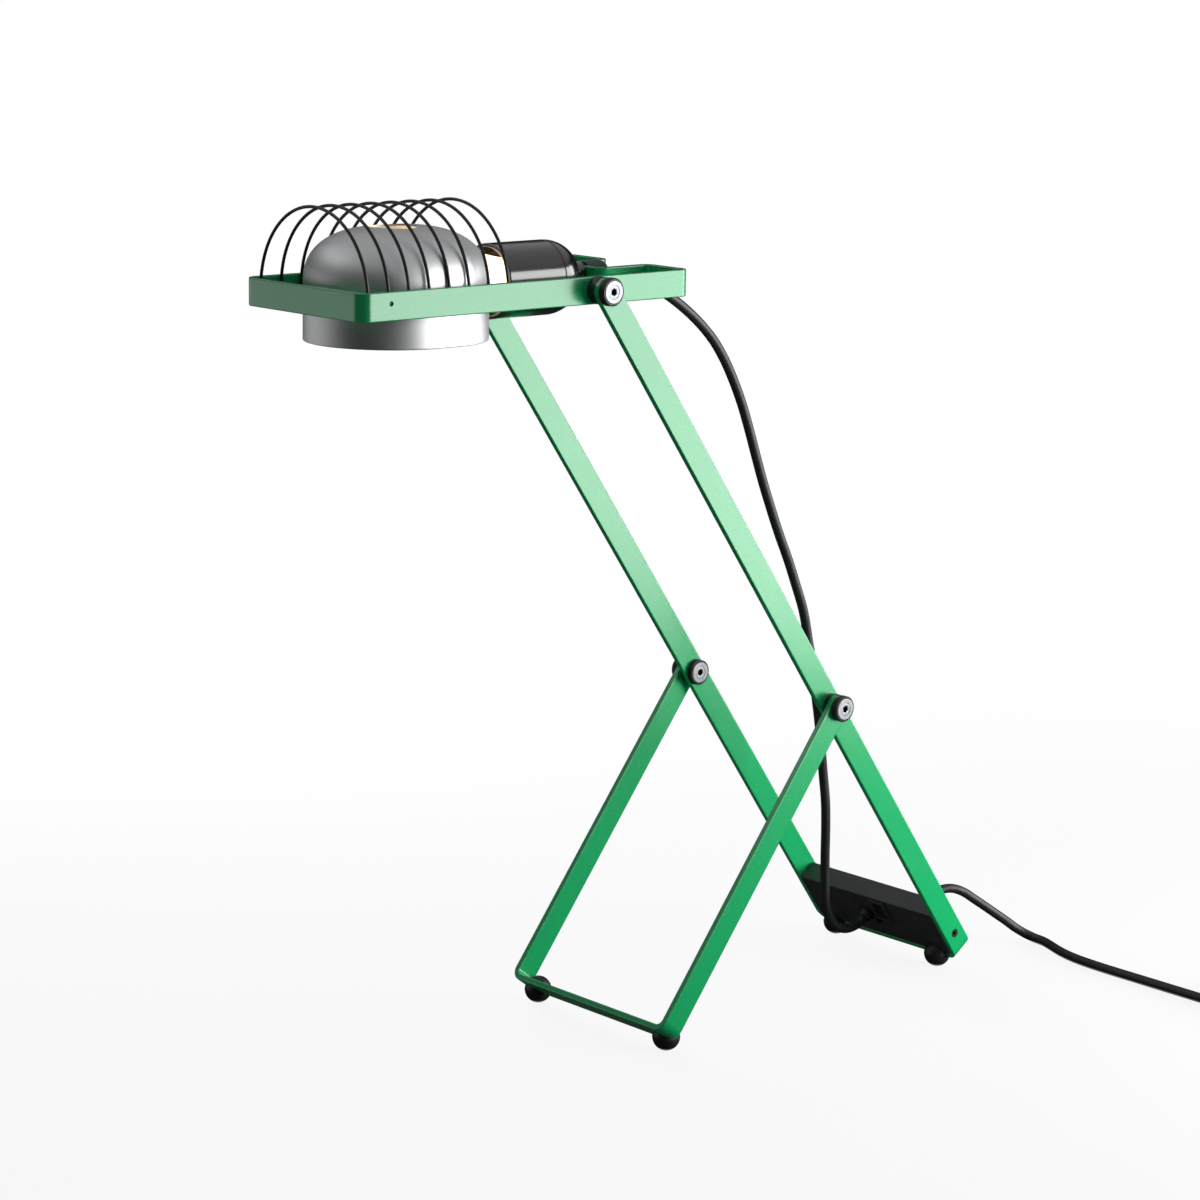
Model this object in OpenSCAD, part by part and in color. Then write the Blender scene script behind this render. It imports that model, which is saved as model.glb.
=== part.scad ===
// Accordion desk lamp: two bent-strip U frames that scissor on a middle pivot, and a bent-strip head frame
// that tilts between the tops of the long arms. The head carries a lampholder, a bulb, a domed reflector
// and a wire guard. A slim box between the feet of the long frame holds the switch and the terminals.
// The X axis runs along the pivots, the head reaches towards -Y, and the ball feet stand on Z = 0.

/* [Strip] */
// Width of the flat strip that the leg frames are bent from
strip_w = 17; // [15:0.5:19]
// Thickness of the flat strip
strip_t = 4; // [3:0.1:5]
// Inside radius of every bend in the leg frames
bend_r = 4; // [3:0.5:7]

/* [Long frame] */
// Length of a long arm from the middle pivot up to the head pivot
long_upper = 350; // [332:1:370]
// Length of a long arm from the middle pivot down to the middle of its crossbar
long_lower = 237; // [226:1:246]
// Lean of the long arms over the horizontal, in degrees
long_lean = 54.5; // [48:0.5:60]
// Width over the outer faces of the long arms
long_w = 134; // [130:1:138]

/* [Short frame] */
// Length of a short arm from the middle pivot to the middle of its crossbar
short_len = 242; // [236:1:252]
// Clear gap between a long arm and the short arm outside it
leg_gap = 3; // [2:0.1:6]

/* [Head frame] */
// Height of the strip of the head frame
head_strip_w = 17; // [15:0.5:19]
// Clear gap between a long arm and the side wall of the head frame inside it
head_gap = 6; // [4:0.1:9]
// Reach of the head frame ahead of the head pivot
head_front = 180; // [175:1:190]
// Reach of the head frame behind the head pivot
head_rear = 77; // [72:1:84]
// Clear width of the notch in the rear of the head frame
notch_w = 35; // [30:1:40]
// Depth of the notch from the rear of the head frame
notch_d = 39; // [34:1:42]
// Tilt of the head over level, nose up, in degrees
head_tilt = 0; // [-10:1:10]

/* [Pivots] */
// Diameter of the sleeve that each pivot turns on
sleeve_d = 8; // [7:0.5:9]
// Radial running clearance of a pivot bore on its sleeve
pivot_gap = 0.05; // [0.02:0.01:0.1]
// Diameter of the pivot bolts
bolt_d = 5; // [4:0.5:5.5]
// Diameter of the steel face of a pivot bolt or nut
face_d = 14.5; // [12:0.5:15]
// Thickness of that steel face
face_t = 2; // [1.5:0.1:2.5]
// Size across the flats of the hexagon sockets
socket_af = 4; // [3:0.5:5]
// Diameter of the ribbed caps
cap_d = 17.5; // [16.5:0.5:19]
// Height of an outer cap
cap_h = 5; // [4:0.25:7]
// Height of an inner cap
inner_cap_h = 4; // [2.5:0.25:5]
// Diameter of the spacers between the frames
spacer_d = 17; // [15:0.5:18]
// Running gap at the face of a frame that turns
face_gap = 0.1; // [0.05:0.05:0.3]

/* [Feet] */
// Diameter of a ball foot
foot_d = 18; // [16:0.5:20]
// Distance from the middle of the strip to the centre of its ball foot
foot_off = 9; // [8.5:0.25:10]
// Depth of the flat that a ball foot stands on
foot_flat = 0.5; // [0.3:0.1:0.8]
// Distance of the front ball feet from the middle
front_foot_x = 63; // [58:1:66]
// Distance of the rear ball feet from the middle
rear_foot_x = 49; // [44:1:54]

/* [Base box] */
// Height of the box along the arms
box_h = 39.5; // [36:0.5:44]
// Distance from the front edge of the arms to the box's rear face
box_depth = 15; // [14:0.5:16]
// Wall thickness of the box
box_wall = 2.2; // [1.8:0.1:2.6]
// Thickness of the rear cover
cover_t = 2; // [1.5:0.1:2.5]
// Width of the switch opening
switch_w = 13; // [11:0.5:15]
// Height of the switch opening
switch_h = 17; // [15:0.5:19]
// Distance of the switch from the middle
switch_x = 10; // [8:0.5:14]
// Diameter of the side screws
side_screw_d = 6; // [4:0.5:6.5]
// Distance of the side screws above the crossbar
side_screw_up = 15; // [12:0.5:20]

/* [Lampholder and bulb] */
// Diameter of the lampholder
holder_d = 46.5; // [44:0.5:48]
// Reach of the lampholder's mouth ahead of the head pivot
holder_front = 40; // [36:1:46]
// Distance of the shoulder's start behind the head pivot
shoulder_start = 5; // [2:0.5:8]
// Height of the lamp axis over the middle of the head frame
lamp_up = 2.5; // [1:0.5:4]
// Wall thickness of the lampholder
holder_wall = 2.4; // [2:0.1:3]
// Diameter of the threaded nipple
nipple_d = 10; // [9:0.5:11]
// Diameter of the bulb
bulb_d = 60; // [55:1:62]

/* [Reflector] */
// Length of the reflector in plan
refl_len = 114; // [108:1:118]
// Clear gap between the reflector and the side walls of the head frame
refl_gap = 3; // [2.5:0.1:5]
// Distance of the reflector's middle ahead of the head pivot
refl_ahead = 109.5; // [107:0.5:112]
// Depth of the skirt below the middle of the head frame
refl_down = 28; // [24:1:32]
// Height of the dome's springing over the middle of the head frame
refl_spring = 6; // [4:1:10]
// Height of the dome over the middle of the head frame
refl_up = 40; // [38:1:44]
// Wall thickness of the reflector
refl_wall = 1.2; // [1:0.1:2]
// Diameter of the vent in the dome
vent_d = 30; // [24:1:34]

/* [Guard] */
// Number of hoops
hoop_count = 8; // [5:1:8]
// Spacing of the hoops
hoop_pitch = 15; // [13:0.5:15]
// Diameter of the wire
wire_d = 2; // [1.6:0.1:2.4]
// Distance of the first hoop behind the front face
hoop_back = 9; // [7:0.5:12]
// Diameter of the pin holes in the side walls
pin_hole_d = 3; // [2.6:0.1:3.4]

/* [Cords] */
// Diameter of the flex to the head
flex_d = 6.5; // [6:0.1:7]
// Diameter of the mains lead
lead_d = 6.5; // [6:0.1:6.5]

/* [Hidden] */
$fn = 48;

eps = 0.01;
green = "#1fae6c";
black = "#191a1b";
steel = "#c3c4c6";
alu = "#d6d7d8";
brass = "#c9a24a";
ceramic = "#f1efe8";

// Where the frames stand. The short arms lean so that all four ball feet meet the floor together.
foot_z = foot_d / 2 - foot_flat;
foot_drop = long_lower * sin(long_lean) + foot_off * cos(long_lean);
short_lean = asin(foot_drop / norm([short_len, foot_off])) - atan(foot_off / short_len);
pivot_z = foot_drop + foot_z;
front_y = -long_upper * cos(long_lean) - head_front;
back_y = (long_lower + strip_t / 2) * cos(long_lean) + strip_w / 2 * sin(long_lean);
pivot_y = -(front_y + back_y) / 2;
head_y = pivot_y - long_upper * cos(long_lean);
head_z = pivot_z + long_upper * sin(long_lean);

// Faces along the pivots, from the inside outwards.
long_out = long_w / 2;
long_in = long_out - strip_t;
short_in = long_out + leg_gap;
short_out = short_in + strip_t;
head_out = long_in - head_gap;
head_in = head_out - strip_t;
bore_d = sleeve_d + 2 * pivot_gap;
screw_gap = 0.1;
washer_t = 1.5;
seat_gap = 0.05;
flex_gap = 0.2; // the flex leaves the lampholder slightly sloped, so its end stands clear of the gland

// The box sits on the crossbar, its front flush with the front edges of the arms.
box_z0 = -long_lower + strip_t / 2;
box_front = -strip_w / 2;
box_rear = box_front + box_depth;
side_screw_z = box_z0 + side_screw_up;
lead_x = 22;
lead_z = box_z0 + 8.5;
flex_x = -6;
flex_z = box_z0 + 21;
switch_z = box_z0 + 28;
clamp_x = 2.5;
clamp_z = box_z0 + 15.5;
gland_flange = 12;
gland_tip = 8.4;
flex_gland_len = 6;
lead_gland_len = 20;
cover_slip = 0.1;
cover_screw_x = long_in - box_wall - cover_slip - 12;
terminal_x = -28;
terminal_z = box_z0 + 17;
label_x = 20;
label_w = 36;
label_h = 13.5;
label_depth = 0.4;
label_z = box_z0 + 19.5;

// The rocker turns on stub axles inside its housing. At rest its upper end is pressed in.
axle_d = 2;
axle_y = box_front + 0.6;
rocker_w = switch_w - 4;
rocker_h = switch_h - 4;
rocker_tilt = 7;
rocker_proud = 1.8;
rocker_deep = 4;

// The lampholder and the bulb lie along one axis. Distances run back from the head pivot.
cross_wall = head_rear - notch_d;
holder_r = holder_d / 2;
boss_d = 18;
seam = 0.4;
shoulder_end = 24;
insert_y = 2;
shell_d = 28;
shell_y0 = -27;
shell_y1 = -7;
glass_y1 = -28;
globe_y = -81;
nipple_bore = flex_d + 0.5;
nipple_y0 = 20;
nipple_y1 = cross_wall + 12;
gland_y1 = cross_wall + 16;

// The guard rides inside the side walls.
refl_w = 2 * (head_in - refl_gap);
hoop_r = head_in - wire_d / 2 - seat_gap;
hoop_z = 1.6;
hoop_y0 = -head_front + hoop_back;
hoop_y1 = hoop_y0 + (hoop_count - 1) * hoop_pitch;
pin_y = -head_front + 22;
stud_z = -5.5;
stud_d = 4;
stud_collar_d = 6.5;
neck_hole_d = 47;
dome_power = 2 / 2.4;

// Route of the head flex: straight out behind the lampholder, over the back of the head, down between the
// long arms and round into the front of the box.
flex_route = [[0, -18, 491.2], [0, -6, 488.8], [0, 6, 484.6], [0, 18, 479], [0, 30, 472.4],
    [0, 43, 464], [0, 56, 454], [0, 68, 442.5], [0, 78, 429.5], [0, 87, 414.5], [0, 95, 398.5],
    [0, 102, 381.5], [0, 109, 363], [0, 116, 345], [0, 124, 326.5], [0, 132, 309], [0, 141, 291],
    [0, 149, 273], [0, 157, 254], [-1, 163, 235], [-1, 168, 215], [-2, 173, 195], [-2, 177, 175],
    [-3, 181, 155], [-4, 185, 135], [-4, 188, 115], [-5, 190, 95], [-6, 191.2, 76], [-6, 191.8, 60],
    [-6, 192.2, 47.5], [-6, 194.3, 36.5], [-6, 199.5, 27.5], [-6, 206.8, 21.6], [-6, 214.5, 19.4],
    [-6, 221.5, 19.7]];
flex_top = [0, -30, 491.7];
flex_foot = [-6, 230.8, 24];

// Route of the mains lead: out of the strain relief behind the box, down to the floor and off to the side.
lead_route = [[23, 281, 41.8], [25.8, 288.5, 41.9], [29.2, 296, 38.9], [33, 304, 33], [36.5, 312, 27],
    [39.5, 320, 21], [42.5, 328, 15], [46, 334.5, 9.5], [51, 339.5, 5.6], [57.5, 342, 3.6],
    [65, 341.8, 3.3], [74, 338.8, 3.3], [88, 333, 3.3], [104, 328.6, 3.3], [122, 326.6, 3.3],
    [140, 326, 3.3], [158, 326, 3.3], [176, 326, 3.3], [194, 326, 3.3], [212, 326, 3.3], [230, 326, 3.3]];
lead_top = [22, 271.8, 36.9];
lead_drop_points = 9;

// The unseen rest of the mains lead is wound into a flat round coil of two layers.
coil_c = [258, 371];
coil_r = 45;
coil_pitch = 7.05;
coil_z = 3.3;
coil_layer = 7.05;
climb_dip = 1;
turns_in = 3;
turns_climb = 0.5;
turns_out = 2.75;
coil_rings = 24;
cord_sides = 8;
coil_sides = 6;
tail_len = 52;

// ---------- helpers ----------

function unit(v) = v / norm(v);

// One ring of a tube round point p, square to direction t, with ref turned square to t as its first axis.
function ring(p, t, r, sides, ref) =
    let (a = unit(ref - (ref * t) * t), b = cross(t, a))
    [for (k = [0:sides - 1]) p + r * (cos(360 * k / sides) * a + sin(360 * k / sides) * b)];

// Direction of the route at point i. The ends take the direction of their own stretch.
function heading(pts, i) = unit(pts[min(i + 1, len(pts) - 1)] - pts[max(i - 1, 0)]);

// A closed tube swept along a list of points, of triangles only.
module swept_tube(pts, d, sides, ref) {
    n = len(pts);
    verts = [for (i = [0:n - 1]) each ring(pts[i], heading(pts, i), d / 2, sides, ref)];
    walls = [for (i = [0:n - 2], k = [0:sides - 1])
        let (a = i * sides + k, b = i * sides + (k + 1) % sides)
        each [[a, a + sides, b], [b, a + sides, b + sides]]];
    first = [for (k = [1:sides - 2]) [0, k, k + 1]];
    last = [for (k = [1:sides - 2]) [(n - 1) * sides, (n - 1) * sides + k + 1, (n - 1) * sides + k]];
    polyhedron(points = verts, faces = concat(walls, first, last));
}

// Frame places: the long arms, the short arms and the head, each with Z up its own length or height.
module on_long() { translate([0, pivot_y, pivot_z]) rotate([90 - long_lean, 0, 0]) children(); }
module on_short() { translate([0, pivot_y, pivot_z]) rotate([short_lean - 90, 0, 0]) children(); }
module on_head() { translate([0, head_y, head_z]) rotate([-head_tilt, 0, 0]) children(); }
module both_sides() { children(); mirror([1, 0, 0]) children(); }

// Rods along X and Y, from one place to another.
module rod_x(d, x0, x1) { translate([x0, 0, 0]) rotate([0, 90, 0]) cylinder(d = d, h = x1 - x0); }
module rod_y(d, y0, y1) { translate([0, y1, 0]) rotate([90, 0, 0]) cylinder(d = d, h = y1 - y0); }
module hex_x(af, x0, x1) {
    translate([x0, 0, 0]) rotate([0, 90, 0]) cylinder(d = af / cos(30), h = x1 - x0, $fn = 6);
}

// A flat strip bent along a path in the XY plane, standing on edge. Each corner of the path is a bend.
module strip_run(a, b, trim_a, trim_b) {
    run = norm(b - a);
    translate(a) rotate(atan2(b[1] - a[1], b[0] - a[0]))
        translate([trim_a, -strip_t / 2]) square([run - trim_a - trim_b, strip_t]);
}
module strip_bend(p, turn_x, turn_y, r) {
    translate([p[0] + turn_x * r, p[1] + turn_y * r]) intersection() {
        difference() {
            circle(r = r + strip_t / 2);
            circle(r = r - strip_t / 2);
        }
        translate([turn_x > 0 ? -2 * r : 0, turn_y > 0 ? -2 * r : 0]) square(2 * r);
    }
}

// Half outline of a U frame: one arm, its bend and half of the crossbar, in the plane of the arms.
module u_half(half_w, top, bottom) {
    mid_r = bend_r + strip_t / 2;
    cx = half_w - strip_t / 2;
    strip_run([cx, -bottom], [cx, top], mid_r, 0);
    strip_bend([cx, -bottom], -1, 1, mid_r);
    strip_run([-eps, -bottom], [cx, -bottom], 0, mid_r);
}

// The solid U frame, its arms round at the top.
module u_solid(half_w, top, bottom) {
    both_sides() {
        rotate([90, 0, 0]) linear_extrude(strip_w, center = true) u_half(half_w, top, bottom);
        translate([0, 0, top]) rod_x(strip_w, half_w - strip_t, half_w);
    }
}

// Outline of half of the head frame, from the middle of the front to the notch.
module head_half() {
    mid_r = bend_r + strip_t / 2;
    cx = head_out - strip_t / 2;
    fy = -head_front + strip_t / 2;
    ry = head_rear - strip_t / 2;
    nx = notch_w / 2 + strip_t / 2;
    ny = cross_wall - strip_t / 2;
    tight_r = 3 + strip_t / 2;
    strip_run([-eps, fy], [cx, fy], 0, mid_r);
    strip_bend([cx, fy], -1, 1, mid_r);
    strip_run([cx, fy], [cx, ry], mid_r, tight_r);
    strip_bend([cx, ry], -1, -1, tight_r);
    strip_run([nx, ry], [cx, ry], tight_r, tight_r);
    strip_bend([nx, ry], 1, -1, tight_r);
    strip_run([nx, ny], [nx, ry], tight_r, tight_r);
    strip_bend([nx, ny], -1, 1, tight_r);
    strip_run([-eps, ny], [nx, ny], 0, tight_r);
}

// ---------- frames ----------

module long_frame() {
    color(green) on_long() difference() {
        u_solid(long_out, long_upper, long_lower);
        rod_x(bore_d, -long_out - 1, long_out + 1);
        translate([0, 0, long_upper]) rod_x(bore_d, -long_out - 1, long_out + 1);
        translate([0, 0, side_screw_z]) rod_x(side_screw_d + 2 * screw_gap, -long_out - 1, long_out + 1);
    }
}

module short_frame() {
    color(green) on_short() difference() {
        u_solid(short_out, 0, short_len);
        rod_x(bore_d, -short_out - 1, short_out + 1);
    }
}

module head_frame() {
    color(green) on_head() difference() {
        translate([0, 0, -head_strip_w / 2]) linear_extrude(head_strip_w) both_sides() head_half();
        rod_x(bore_d, -head_out - 1, head_out + 1);
        translate([0, pin_y, hoop_z]) rod_x(pin_hole_d, -head_out - 1, head_out + 1);
        translate([0, 0, lamp_up]) rod_y(nipple_d + 2 * screw_gap, cross_wall - strip_t - 1, cross_wall + 1);
    }
}

// ---------- feet ----------

// A ball foot at distance x from the middle, slit for the edge of the crossbar that it is pushed on.
module foot(x, off, bar, half_w) {
    difference() {
        translate([x, off, -bar]) sphere(d = foot_d);
        rotate([90, 0, 0]) linear_extrude(strip_w, center = true) u_half(half_w, 0, bar);
    }
}
module above_floor() {
    difference() {
        children();
        translate([-2 * short_out, -long_lower, -foot_d]) cube([4 * short_out, 3 * long_lower, foot_d]);
    }
}
module front_feet() {
    color(black) above_floor() on_short() both_sides() foot(front_foot_x, foot_off, short_len, short_out);
}
module rear_feet() {
    color(black) above_floor() on_long() difference() {
        both_sides() foot(rear_foot_x, -foot_off, long_lower, long_out);
        box_block(long_in, box_front, box_rear, box_z0, box_z0 + box_h);
    }
}

// ---------- pivots ----------

// A bolt whose flat face carries a hexagon socket. Its face seats in a cap that stands on the face at x.
module pivot_bolt(x, length) {
    seat = x + cap_h - face_t + 0.3;
    difference() {
        union() {
            rod_x(face_d, seat, seat + face_t);
            rod_x(bolt_d, seat - length, seat + eps);
        }
        hex_x(socket_af, seat + 0.6, seat + face_t + 1);
    }
}

// A sleeve nut: the sleeve that the joint turns on, with a flat face and a hexagon socket at its inner end.
module sleeve_nut(x_face, x_end) {
    difference() {
        union() {
            rod_x(face_d, x_face, x_face + face_t);
            rod_x(sleeve_d, x_face + face_t - eps, x_end);
        }
        hex_x(socket_af, x_face - 1, x_face + 1.4);
        rod_x(bolt_d + 2 * screw_gap, x_face + face_t + 1, x_end + 1);
    }
}

// A ribbed cap from x to x + h with a bore for the bolt or sleeve and a seat for the steel face.
module ribbed_cap(x, h, bore, seat_x0, seat_x1) {
    groove = 0.8;
    difference() {
        rod_x(cap_d, x, x + h);
        for (k = [1:2]) translate([x + h * k / 3 - groove / 2, 0, 0]) difference() {
            rod_x(cap_d + 1, 0, groove);
            rod_x(cap_d - 1.4, -1, groove + 1);
        }
        rod_x(bore, x - 1, x + h + 1);
        rod_x(face_d + 2 * screw_gap, seat_x0, seat_x1);
    }
}

module spacer(x0, x1) {
    difference() {
        rod_x(spacer_d, x0, x1);
        rod_x(sleeve_d + 2 * screw_gap, x0 - 1, x1 + 1);
    }
}

module mid_bolts() {
    color(steel) on_long() both_sides() pivot_bolt(short_out + face_gap, short_out - long_in);
}
module mid_outer_caps() {
    x = short_out + face_gap;
    color(black) on_long() both_sides() ribbed_cap(x, cap_h, bolt_d + 2 * screw_gap, x + cap_h - face_t + 0.3,
        x + cap_h + 1);
}
module mid_spacers() { color(black) on_long() both_sides() spacer(long_out, short_in - face_gap); }
module mid_inner_caps() {
    x = long_in - inner_cap_h;
    color(black) on_long() both_sides() ribbed_cap(x, inner_cap_h, sleeve_d + 2 * screw_gap, x - 1,
        x + face_t - 0.3);
}
module mid_sleeve_nuts() {
    color(steel) on_long() both_sides() sleeve_nut(long_in - inner_cap_h - 0.3, short_out + face_gap);
}

module head_pivot_place() { on_long() translate([0, 0, long_upper]) both_sides() children(); }
module head_bolts() { color(steel) head_pivot_place() pivot_bolt(long_out, long_out - head_in); }
module head_outer_caps() {
    color(black) head_pivot_place() ribbed_cap(long_out, cap_h, bolt_d + 2 * screw_gap,
        long_out + cap_h - face_t + 0.3, long_out + cap_h + 1);
}
module head_spacers() { color(black) head_pivot_place() spacer(head_out + face_gap, long_in); }
module head_washers() {
    color(black) head_pivot_place() spacer(head_in - face_gap - washer_t, head_in - face_gap);
}
module head_sleeve_nuts() {
    color(steel) head_pivot_place() sleeve_nut(head_in - face_gap - washer_t - face_t, long_out);
}

// ---------- base box ----------

// A block across the arms from y0 to y1, its two lower corners cut off to clear the bends of the frame.
module box_block(half_w, y0, y1, z0, z1) {
    cut = 0.7 * bend_r;
    translate([0, y1, 0]) rotate([90, 0, 0]) linear_extrude(y1 - y0)
        polygon([[cut - half_w, z0], [half_w - cut, z0], [half_w, z0 + cut], [half_w, z1], [-half_w, z1],
            [-half_w, z0 + cut]]);
}

module base_shell() {
    top = box_z0 + box_h;
    color(black) on_long() difference() {
        box_block(long_in - seat_gap, box_front, box_rear, box_z0 + seat_gap, top);
        box_block(long_in - box_wall, box_front + box_wall, box_rear + 1, box_z0 + box_wall, top - box_wall);
        translate([switch_x, box_front - 1, switch_z]) translate([-switch_w / 2, 0, -switch_h / 2])
            cube([switch_w, box_wall + 2, switch_h]);
        translate([flex_x, 0, flex_z])
            rod_y(gland_tip + 2 * screw_gap, box_front - 1, box_front + box_wall + 1);
        translate([clamp_x, 0, clamp_z]) rod_y(3 + 2 * screw_gap, box_front - 1, box_front + box_wall + 1);
        translate([label_x, box_front - 1, label_z]) cube([label_w, 1 + label_depth, label_h]);
        translate([0, 0, side_screw_z]) rod_x(side_screw_d - 0.8, -long_out, long_out);
    }
}

module base_cover() {
    edge = box_wall + cover_slip;
    color(black) on_long() difference() {
        box_block(long_in - edge, box_rear - cover_t, box_rear, box_z0 + edge, box_z0 + box_h - edge);
        translate([lead_x, 0, lead_z]) rod_y(gland_tip + 2 * screw_gap, box_rear - cover_t - 1, box_rear + 1);
        for (s = [-1, 1]) translate([s * cover_screw_x, 0, box_z0 + box_h / 2])
            rod_y(3 + 2 * screw_gap, box_rear - cover_t - 1, box_rear + 1);
    }
}

// Screws that hold the cover to the shell's front wall, their heads on the cover.
module cover_screws() {
    color(steel) on_long() for (s = [-1, 1]) translate([s * cover_screw_x, 0, box_z0 + box_h / 2]) {
        rod_y(3, box_front + box_wall, box_rear + 0.2);
        difference() {
            rod_y(5.5, box_rear, box_rear + 1.4);
            translate([-2, box_rear + 0.7, -0.4]) cube([4, 2, 0.8]);
        }
    }
}

// Grub screws through the arms into the ends of the box, with hexagon sockets.
module side_screws() {
    sink = 0.3;
    color(black) on_long() translate([0, 0, side_screw_z]) both_sides() difference() {
        union() {
            rod_x(side_screw_d, long_in, long_out - sink);
            rod_x(side_screw_d - 1, long_in - 6, long_in + eps);
        }
        hex_x(2.5, long_out - sink - 1.6, long_out + 1);
    }
}

// A small screw through the front wall pulls the cord clamp up behind it.
module clamp_screw() {
    color(black) on_long() translate([clamp_x, 0, clamp_z]) {
        rod_y(3, box_front - eps, box_front + box_wall + 4);
        difference() {
            rod_y(4.6, box_front - 1.2, box_front);
            hex_y(2, box_front - 2, box_front - 0.4);
        }
    }
}
module hex_y(af, y0, y1) {
    translate([0, y1, 0]) rotate([90, 0, 0]) cylinder(d = af / cos(30), h = y1 - y0, $fn = 6);
}
module cord_clamp() {
    y0 = box_front + box_wall;
    color(steel) on_long() difference() {
        translate([clamp_x - 3.5, y0, clamp_z - 4.5]) cube([7, 3, 8]);
        translate([clamp_x, 0, clamp_z]) rod_y(3 + 2 * screw_gap, y0 - 1, y0 + 4);
    }
}

module terminal_block() {
    y0 = box_front + box_wall;
    color(ceramic) on_long() difference() {
        translate([terminal_x - 12, y0, terminal_z - 7]) cube([24, 7, 14]);
        for (k = [-1, 1]) translate([terminal_x + 6 * k, 0, terminal_z]) rod_y(4, y0 + 3, y0 + 8);
    }
}

// The switch: a bezel on the front wall with a body behind it, open to the front for the rocker.
module switch_housing() {
    y0 = box_front + box_wall;
    slip = 0.1;
    color(black) on_long() translate([switch_x, 0, switch_z]) difference() {
        union() {
            translate([-switch_w / 2 - 1.2, box_front - 1.2, -switch_h / 2 - 1.2])
                cube([switch_w + 2.4, 1.2, switch_h + 2.4]);
            translate([-switch_w / 2 + slip, box_front - eps, -switch_h / 2 + slip])
                cube([switch_w - 2 * slip, box_wall + 7, switch_h - 2 * slip]);
        }
        translate([-rocker_w / 2 - 0.3, box_front - 2, -rocker_h / 2 - 0.5])
            cube([rocker_w + 0.6, box_wall + 6, rocker_h + 1]);
        translate([0, axle_y, 0]) rod_x(axle_d + 2 * pivot_gap, -rocker_w / 2 - 1.3, rocker_w / 2 + 1.3);
    }
}

// The rocker: two faces that meet at a shallow angle, on stub axles, pressed in at its upper end.
module switch_rocker() {
    dish = 0.5;
    color(black) on_long() translate([switch_x, axle_y, switch_z]) rotate([-rocker_tilt, 0, 0]) {
        rotate([90, 0, 90]) translate([0, 0, -rocker_w / 2]) linear_extrude(rocker_w)
            polygon([[rocker_deep, -rocker_h / 4], [-rocker_proud, -rocker_h / 2], [dish - rocker_proud, 0],
                [-rocker_proud, rocker_h / 2], [rocker_deep, rocker_h / 4]]);
        rod_x(axle_d, -rocker_w / 2 - 1.1, rocker_w / 2 + 1.1);
    }
}

// A tapered rubber strain relief, moulded round its cord: a plug in the wall, a flange and a nose.
module gland(length) {
    rod_y(gland_flange, 0, 2);
    rod_y(gland_tip, -4, eps);
    translate([0, 2 - eps, 0]) rotate([-90, 0, 0])
        cylinder(d1 = gland_tip + 1.6, d2 = gland_tip, h = length - 2 + eps);
}
module flex_gland() {
    color(black) on_long() translate([flex_x, box_front, flex_z]) rotate([0, 0, 180]) gland(flex_gland_len);
}
module lead_gland() {
    color(black) on_long() translate([lead_x, box_rear, lead_z]) gland(lead_gland_len);
}

// ---------- lampholder and bulb ----------

module lamp_axis() { on_head() translate([0, 0, lamp_up]) rotate([-90, 0, 0]) children(); }

module holder_shell() {
    color(black) lamp_axis() rotate_extrude() polygon([
        [holder_r, -holder_front + 0.8], [holder_r, shoulder_start - 2 * seam],
        [holder_r - seam, shoulder_start - seam], [holder_r - seam, shoulder_start],
        [holder_r - holder_wall, shoulder_start], [holder_r - holder_wall, -holder_front],
        [holder_r - 0.8, -holder_front]]);
}

// The rounded rear cap: a quarter of an ellipse from the shell's radius in to the boss.
module holder_cap() {
    steps = 10;
    drop = holder_r - boss_d / 2;
    run = shoulder_end - shoulder_start;
    inner = holder_r - holder_wall;
    color(black) lamp_axis() difference() {
        rotate_extrude() polygon(concat(
            [[0, shoulder_start - 3], [inner - 0.1, shoulder_start - 3], [inner - 0.1, shoulder_start],
             [holder_r, shoulder_start]],
            [for (k = [1:steps]) let (a = 90 * k / steps)
                [boss_d / 2 + drop * cos(a), shoulder_start + run * sin(a)]],
            [[boss_d / 2, cross_wall - strip_t], [0, cross_wall - strip_t]]));
        translate([0, 0, shoulder_start - 4]) cylinder(r = inner - holder_wall, h = 9);
        translate([0, 0, shoulder_start + 5 - eps]) cylinder(r1 = inner - holder_wall, r2 = nipple_d, h = 7);
        cylinder(d = nipple_d + 2 * screw_gap, h = cross_wall);
    }
}

module holder_insulator() {
    inner = holder_r - holder_wall - 0.2;
    color(ceramic) lamp_axis() difference() {
        translate([0, 0, shell_y1]) cylinder(r = inner, h = insert_y - shell_y1);
        translate([0, 0, shell_y1 - 1]) cylinder(d = 9, h = 4);
    }
}
module screw_shell() {
    color(brass) lamp_axis() translate([0, 0, shell_y0]) difference() {
        cylinder(d = shell_d, h = shell_y1 - shell_y0);
        translate([0, 0, -1]) cylinder(d = shell_d - 1, h = shell_y1 - shell_y0 + 2);
    }
}
module centre_contact() {
    color(brass) lamp_axis() translate([0, 0, shell_y1]) cylinder(d = 8.6, h = 3);
}

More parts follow.
